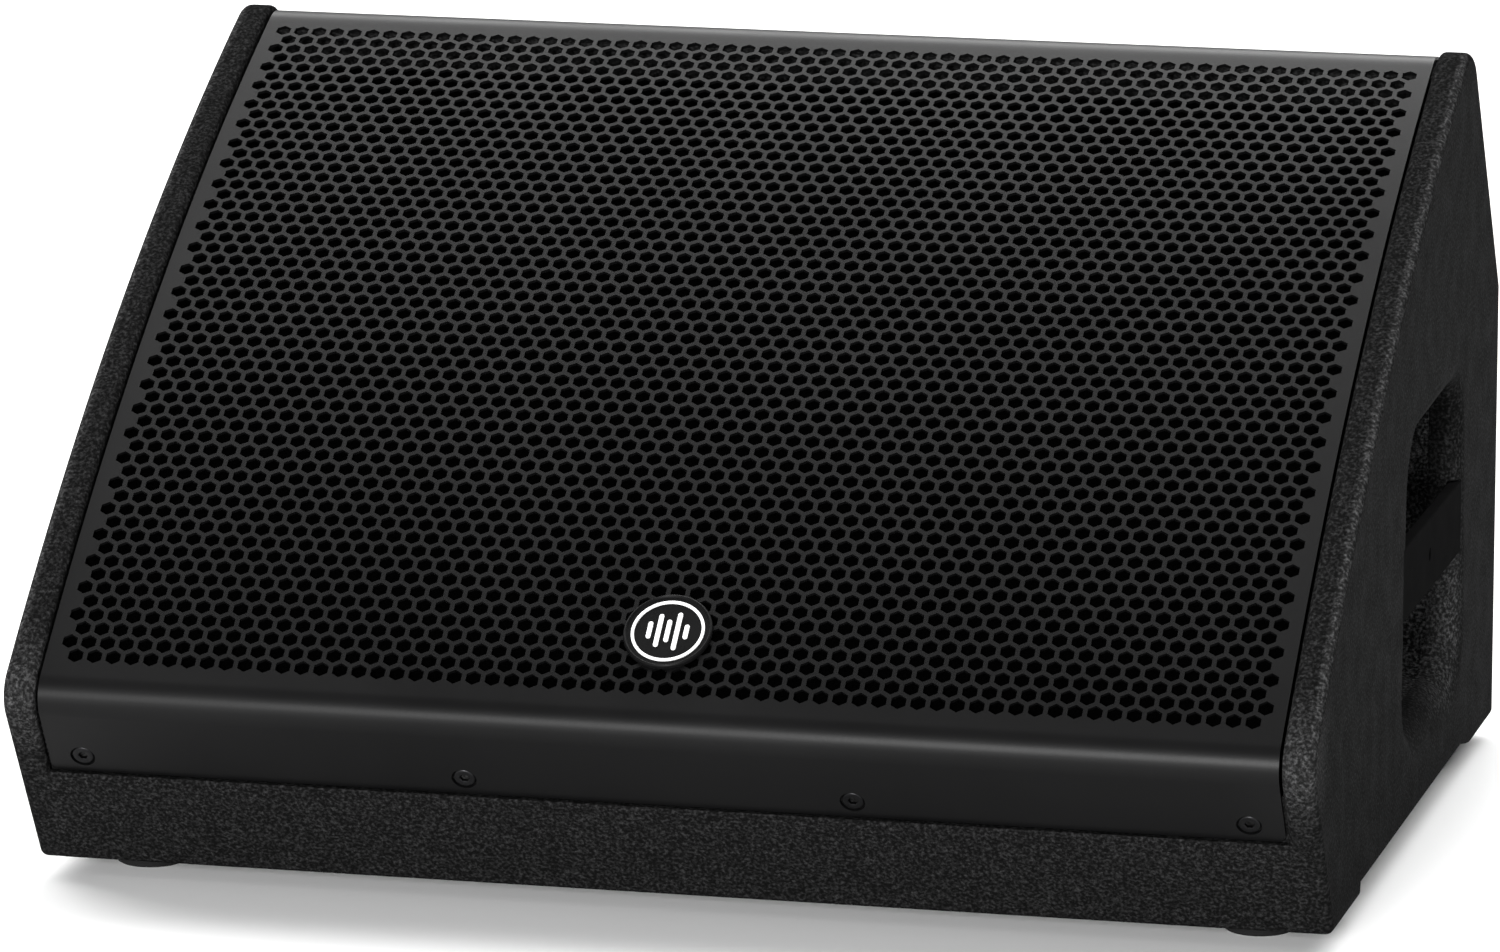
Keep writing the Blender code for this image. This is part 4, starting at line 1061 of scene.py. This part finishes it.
def feet():
    """Rubber feet with a soft rim, a recess and a slotted screw."""
    for number in range(1, 5):
        low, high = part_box("foot_%d" % number)
        place = Matrix.Translation(((low.x + high.x) / 2, (low.y + high.y) / 2, 0.0))
        top = high.z
        profile = rounded(
            [
                ((0.0027, top), 0.0),
                ((0.0170, top), 0.0),
                ((0.0170, 0.0042), 0.0010),
                ((0.0161, 0.0008), 0.0008),
                ((0.0148, 0.0), 0.0006),
                ((0.0074, 0.0), 0.0005),
                ((0.0066, 0.0080), 0.0),
                ((0.0027, 0.0080), 0.0),
            ],
            4,
        )
        rubber = coat(turned("foot_%d_rubber" % number, profile, place, 56), RUBBER)
        stands_for(rubber, "rubber", "foot_%d" % number)
        head = [
            (0.0, 0.0280), (0.0021, 0.0280), (0.0021, 0.0077), (0.0048, 0.0077),
            (0.0046, 0.0062), (0.0036, 0.0050), (0.0, 0.0046),
        ]
        screw = coat(turned("foot_screw_%d_head" % number, head, place, 28), ZINC)
        cross_slot(screw, 0.0024, 0.0005, 0.003, 0.0064, place, ZINC)
        stands_for(screw, "zinc_steel", "foot_screw_%d" % number)


# ---- rear amplifier panel
AMP_HALF_X = 0.165
AMP_LOW_Z = 0.037
AMP_HIGH_Z = 0.199
SINK_X = (-0.142, -0.034)
SINK_Z = (0.058, 0.179)
INPUT_X = 0.000
LINK_X = 0.036
XLR_Z = 0.158
KNOB_Z = 0.110
LEVEL_X = 0.000
TRIM_X = 0.036
BUTTON_X = 0.068
LED_Z = 0.128
INLET_PLACE = (0.112, 0.152)
ROCKER_PLACE = (0.112, 0.092)
ROCKER_LEAN = radians(8.0)
SINK_FINS = 14
SCALE_MARKS = 11                   # round each knob
SCALE_STEP = 30                    # degrees
PRINT_RAILS = (                    # low and high corner (x, z) of each printed line
    ((-0.019, 0.1805), (0.055, 0.1808)),
    ((-0.019, 0.1358), (0.055, 0.1361)),
    ((-0.019, 0.0925), (0.079, 0.0928)),
    ((0.0848, 0.062), (0.0851, 0.1805)),
)


def rear_place(x, z):
    """Placement on the amplifier plate's outer face: +Z points out of the rear, -Y points up."""
    return Matrix.Translation((x, PLATE_Y, z)) @ Matrix.Rotation(-pi / 2, 4, "X")


def panel_print():
    """Scale marks round the knobs and thin lines between the groups."""
    lift = 0.00012
    inner = 0.0105
    marks = []
    for x in (LEVEL_X, TRIM_X):
        for k in range(SCALE_MARKS):
            turn = radians((k - SCALE_MARKS // 2) * SCALE_STEP)
            long = 0.0017 if k % 5 else 0.0026
            mark = block("mark", (-0.00025, -inner - long, 0.0), (0.00025, -inner, lift))
            marks.append(coat(mark, PRINT, rear_place(x, KNOB_Z) @ Matrix.Rotation(turn, 4, "Z")))
    for (x0, z0), (x1, z1) in PRINT_RAILS:
        marks.append(coat(block("rail", (x0, PLATE_Y, z0), (x1, PLATE_Y + lift, z1)), PRINT))
    return marks


def latch_slot(plate_or_flange, material):
    """Cuts the input latch's slot."""
    low, high = (-0.0039, -0.0145, -0.010), (0.0039, -0.0109, 0.006)
    return cut(plate_or_flange, coat(block("slot", low, high, 0.0, rear_place(INPUT_X, XLR_Z)), material))


def amp_plate():
    middle_z = (AMP_LOW_Z + AMP_HIGH_Z) / 2
    outline = rounded_rectangle((0.0, middle_z), AMP_HALF_X, (AMP_HIGH_Z - AMP_LOW_Z) / 2, 0.004, 5)
    holes = [circle((x, XLR_Z), 0.0118, 40) for x in (INPUT_X, LINK_X)]
    holes += [circle((x, KNOB_Z), 0.0036, 24) for x in (LEVEL_X, TRIM_X, BUTTON_X)]
    holes.append(circle((BUTTON_X, LED_Z), 0.0017, 16))
    holes.append(rounded_rectangle(INLET_PLACE, 0.0143, 0.0108, 0.001, 3))
    holes.append(rounded_rectangle(ROCKER_PLACE, 0.0098, 0.0143, 0.001, 3))
    sheet = coat(plate("sheet", outline, PLATE_Y - 0.003, PLATE_Y, along_y, 0.0004, holes, 2), PLATE)
    latch_slot(sheet, PLATE)
    stands_for(merged("amp_plate_panel", sheet, *panel_print()), "plate_coat", "amp_plate")


def heatsink():
    """Finned block with rounded fin tips and roots."""
    foot = PLATE_Y + 0.0003
    root = PLATE_Y + 0.003
    tip = PLATE_Y + 0.0125
    fin = 0.0016
    pitch = (SINK_X[1] - SINK_X[0] - fin) / (SINK_FINS - 1)
    comb = [((SINK_X[0], foot), 0.0003), ((SINK_X[1], foot), 0.0003)]
    for i in reversed(range(SINK_FINS)):
        left = SINK_X[0] + i * pitch
        comb += [((left + fin, tip), 0.00065), ((left, tip), 0.00065)]
        if i:
            comb += [((left, root), 0.0009), ((left - pitch + fin, root), 0.0009)]
    fins = layered("heatsink_fins", rounded_stack(rounded(comb, 4), *SINK_Z, along_z, 0.00025, 0.00025, 1))
    stands_for(coat(fins, ANODISED), "anodised", "heatsink")


def small_screw(place, head):
    """Countersunk cross-slot screw head lying in a flange; the placement is its top's centre."""
    profile = [(0.0, -0.0010), (head * 0.72, -0.0010), (head, 0.0), (head - 0.0002, 0.00025), (0.0, 0.00035)]
    screw = coat(turned("screw", profile, place, 28), SCREW)
    return cross_slot(screw, head * 0.55, 0.00025, -0.0005, 0.001, place, SCREW)


def audio_socket(node, x, male):
    place = rear_place(x, XLR_Z)
    outline = rounded_rectangle((0.0, 0.0), 0.0130, 0.0155, 0.0030, 6)
    mouth = circle((0.0, 0.0), 0.0094, 48)
    flange = coat(plate("flange", outline, 0.0003, 0.0022, along_z, 0.0005, [mouth], 3), PLASTIC, place)
    outer, bore = 0.0115, 0.0093
    cup = [(0.0, -0.0220), (outer, -0.0220), (outer, 0.0004), (bore, 0.0004), (bore, -0.0150), (0.0, -0.0150)]
    barrel = coat(turned("barrel", cup, place, 48), PLASTIC)
    pin = [(0.0, -0.0180), (0.0012, -0.0180), (0.0012, -0.0038), (0.0009, -0.0032), (0.0, -0.0030)]
    hole = [(0.0, -0.0195), (0.0014, -0.0195), (0.0014, -0.0100), (0.0, -0.0100)]
    contacts = []
    for turn in [radians(90 + 120 * k) for k in range(3)]:
        spot = place @ Matrix.Translation((0.0040 * cos(turn), 0.0040 * sin(turn), 0.0))
        contact = turned("contact", pin if male else hole, spot, 20)
        contacts.append(coat(contact, NICKEL if male else PLASTIC))
    shapes = [flange, barrel]
    if male:
        shapes += contacts
    else:
        cut(barrel, *contacts)
        latch_slot(flange, PLASTIC)
    for a, b in ((-0.0098, -0.0122), (0.0098, 0.0122)):
        shapes.append(small_screw(place @ Matrix.Translation((a, b, 0.0022)), 0.0021))
    stands_for(merged(node + "_shell", *shapes), "black_plastic", node)


def ribbed_knob(node, x):
    """Control knob with a ribbed grip, a skirt and a pale pointer; rings are (radius, z, share of rib)."""
    place = rear_place(x, KNOB_Z)
    rings = [
        (0.0031, -0.0100, 0.0), (0.0031, 0.0008, 0.0), (0.0080, 0.0008, 0.0), (0.0082, 0.0011, 0.0),
        (0.0082, 0.0023, 0.0), (0.0079, 0.0027, 0.0), (0.0077, 0.0032, 0.6), (0.0076, 0.0040, 1.0),
        (0.0072, 0.0122, 1.0), (0.0070, 0.0131, 0.6), (0.0066, 0.0137, 0.1), (0.0060, 0.0140, 0.0),
        (0.0042, 0.0139, 0.0),
    ]
    ribs = 18
    around = ribs * 8
    layers = []
    for radius, z, rib in rings:
        layer = []
        for k in range(around):
            turn = tau * k / around
            r = radius - rib * 0.00038 * (0.5 - 0.5 * cos(ribs * turn))
            layer.append((r * cos(turn), r * sin(turn), z))
        layers.append(layer)
    grip = coat(layered("grip", layers), PLASTIC, place)
    pointer = block("pointer", (-0.00045, -0.0064, 0.0134), (0.00045, -0.0012, 0.01405), 0.0001, place)
    stands_for(merged(node + "_grip", grip, coat(pointer, PRINT)), "black_plastic", node, body=node)


def latch_button_lamp():
    low, high = (-0.0036, -0.0142, -0.0012), (0.0036, -0.0112, 0.0032)
    tab = block("input_latch_tab", low, high, 0.0006, rear_place(INPUT_X, XLR_Z), 3)
    stands_for(coat(tab, ZINC), "zinc_steel", "input_latch", body="input_latch")
    cap = [
        (0.0, -0.0080), (0.0030, -0.0080), (0.0030, 0.0041), (0.0029, 0.0046),
        (0.0025, 0.0049), (0.0016, 0.0050), (0.0, 0.0048),
    ]
    button = coat(turned("mode_button_cap", cap, rear_place(BUTTON_X, KNOB_Z), 40), PLASTIC)
    stands_for(button, "black_plastic", "mode_button", body="mode_button")
    dome = [
        (0.0, -0.0060), (0.0014, -0.0060), (0.0014, 0.0005), (0.0013, 0.0010),
        (0.0009, 0.0015), (0.0004, 0.00175), (0.0, 0.0018),
    ]
    lamp = coat(turned("status_lamp_lens", dome, rear_place(BUTTON_X, LED_Z), 28), LENS)
    stands_for(lamp, "lamp", "status_lamp")


def housing(place, flange, shell, mouth, depth, floor_depth):
    """Flange, walls and floor round a mouth; flange and shell are (half x, half y, rounding, steps)."""
    (flange_outline, shell_outline) = (rounded_rectangle((0.0, 0.0), *size) for size in (flange, shell))
    ends = (-depth, 0.0004, along_z, 0.0, 0.0)
    shapes = (
        plate("flange", flange_outline, 0.0003, 0.0025, along_z, 0.0006, [mouth], 3),
        layered("walls", rounded_stack(shell_outline, *ends), holes=[rounded_stack(mouth, *ends)]),
        upright_block("floor", shell[0], shell[1], -floor_depth, -depth),
    )
    return [coat(shape, PLASTIC, place) for shape in shapes]


def inlet():
    place = rear_place(*INLET_PLACE)
    side = [(0.0122, 0.0085), (0.0122, -0.0055), (0.0088, -0.0085)]
    corners = [(-0.0122, 0.0085)] + side + [(-0.0088, -0.0085), (-0.0122, -0.0055)]
    mouth = rounded([(corner, 0.0010) for corner in corners], 4)
    shapes = housing(place, (0.0250, 0.0135, 0.0040, 6), (0.0140, 0.0105, 0.0012, 4), mouth, 0.0150, 0.0200)
    for x, y in ((0.0, -0.0025), (-0.0065, 0.0022), (0.0065, 0.0022)):
        high = (x + 0.0010, y + 0.0020, -0.0035)
        blade = block("blade", (x - 0.0010, y - 0.0020, -0.0180), high, 0.0004, place)
        shapes.append(coat(blade, NICKEL))
    for x in (-0.0198, 0.0198):
        shapes.append(small_screw(place @ Matrix.Translation((x, 0.0, 0.0025)), 0.0026))
    stands_for(merged("mains_inlet_shell", *shapes), "black_plastic", "mains_inlet")


def rocker_switch():
    mouth = rounded_rectangle((0.0, 0.0), 0.0082, 0.0127, 0.0008, 3)
    place = rear_place(*ROCKER_PLACE)
    shapes = housing(place, (0.0115, 0.0160, 0.0020, 5), (0.0095, 0.0140, 0.0010, 3), mouth, 0.0110, 0.0190)
    stands_for(merged("switch_bezel_frame", *shapes), "black_plastic", "switch_bezel")
    half, high, dip = 0.0118, 0.0040, 0.0010
    corners = [
        ((-half, high), 0.0008), ((0.0, dip), 0.0100), ((half, high), 0.0008),
        ((0.0105, -0.0030), 0.0), ((0.0, -0.0065), 0.0), ((-0.0105, -0.0030), 0.0),
    ]
    x, z = ROCKER_PLACE
    tip = Matrix.Translation((x, PLATE_Y - 0.0015, z)) @ Matrix.Rotation(ROCKER_LEAN, 4, "X")
    profile = rounded(corners, 6)
    layers = rounded_stack(profile, -0.0078, 0.0078, lambda x, a, b: (x, b, a), 0.0005, 0.0005, 3)
    shapes = [coat(layered("cap", layers), GLOSS, tip)]
    slope = atan2(high - dip, half)
    for way in (1, -1):
        lean = Matrix.Rotation(-pi / 2 - way * slope, 4, "X")
        face = Matrix.Translation((0.0, 0.0028, way * 0.0072)) @ lean
        if way > 0:
            mark = upright_block("mark", 0.0004, 0.0019, -0.0003, 0.00012)
        else:
            ring = [(0.0014, -0.0003), (0.0014, 0.00012), (0.0020, 0.00012), (0.0020, -0.0003)]
            mark = turned("mark", ring, Matrix(), 32)
        shapes.append(coat(mark, PRINT, tip @ face))
    stands_for(merged("power_rocker_cap", *shapes), "gloss_black", "power_rocker", body="power_rocker")


def amplifier():
    amp_plate()
    heatsink()
    audio_socket("input_socket", INPUT_X, False)
    audio_socket("link_socket", LINK_X, True)
    ribbed_knob("level_knob", LEVEL_X)
    ribbed_knob("trim_knob", TRIM_X)
    latch_button_lamp()
    inlet()
    rocker_switch()


# ---- CAD nodes that stay as they are
KEPT = (
    (PAINT, ("bottom_board", "baffle_board", "top_rail")),
    (CASTING, ("driver_basket", "compression_driver")),
    (RUBBER, ("driver_gasket", "surround")),
    (ZINC, ("top_plate", "pole_yoke", "power_supply")),
    (FERRITE, ("magnet",)),
    (COPPER, ("voice_coil",)),
    (CONE, ("cone",)),
    (CLOTH, ("spider",)),
    (PLASTIC, ("hf_horn", "port_tube_left", "port_tube_right")),
    (SCREW, ("driver_screw_1", "driver_screw_2", "driver_screw_3", "driver_screw_4")),
    (SOLDER_MASK, ("amp_card",)),
)


def finish_kept_nodes():
    for material, names in KEPT:
        for node in [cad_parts[name] for name in names]:
            for slot in node.material_slots:
                slot.material = material
            if not node.material_slots:
                node.data.materials.append(material)


# ---- floor and light
def sun(name, azimuth, elevation, power, spread):
    """Soft light from far away; azimuth 0 is the audience side and 90 the right."""
    data = bpy.data.lights.new(name, "SUN")
    data.energy = power
    data.angle = radians(spread)
    lamp = bpy.data.objects.new(name, data)
    scene.collection.objects.link(lamp)
    a, e = radians(azimuth), radians(elevation)
    towards = Vector((sin(a) * cos(e), -cos(a) * cos(e), sin(e)))
    lamp.rotation_euler = towards.to_track_quat("Z", "Y").to_euler()


def paper(name, scale, low, high, **settings):
    n = Nodes(name)
    n.set(**settings)
    soft = n.noise(scale)
    return n.use(n.mix(soft, grey(low), grey(high)), n.range(soft, 0.3, 0.7, 0.85, 0.95))


def backdrop():
    """White ring far behind everything, seen by the camera only: it gives no light and no shadow."""
    glow = {"Emission_Color": (1.0, 1.0, 1.0, 1.0), "Emission_Strength": 1.1}
    ring = circle((0.0, 0.0), BACKDROP_RADIUS, 96)
    levels = [[(x, y, z) for x, y in ring] for z in (-0.02, BACKDROP_HEIGHT)]
    wall = layered("backdrop", levels, close_low=False, close_high=False)
    coat(wall, paper("studio_backdrop", 0.2, 0.01, 0.02, Specular_IOR_Level=0.0, **glow))
    for ray in ("diffuse", "glossy", "transmission", "volume_scatter", "shadow"):
        setattr(wall, "visible_" + ray, False)


def studio():
    work = bmesh.new()
    bmesh.ops.create_grid(work, x_segments=8, y_segments=8, size=FLOOR_SIZE)
    floor = add("floor", to_mesh("floor", work))
    coat(floor, paper("studio_floor", 0.8, 0.93, 0.95, Specular_IOR_Level=0.05))
    backdrop()
    world = bpy.data.worlds.new("studio")
    world.use_nodes = True
    scene.world = world
    back = world.node_tree.nodes["Background"]
    back.inputs["Color"].default_value = (1.0, 1.0, 1.0, 1.0)
    back.inputs["Strength"].default_value = AMBIENT
    for values in SUNS:
        sun(*values)


cabinet()
grille_group()
feet()
amplifier()
finish_kept_nodes()
studio()
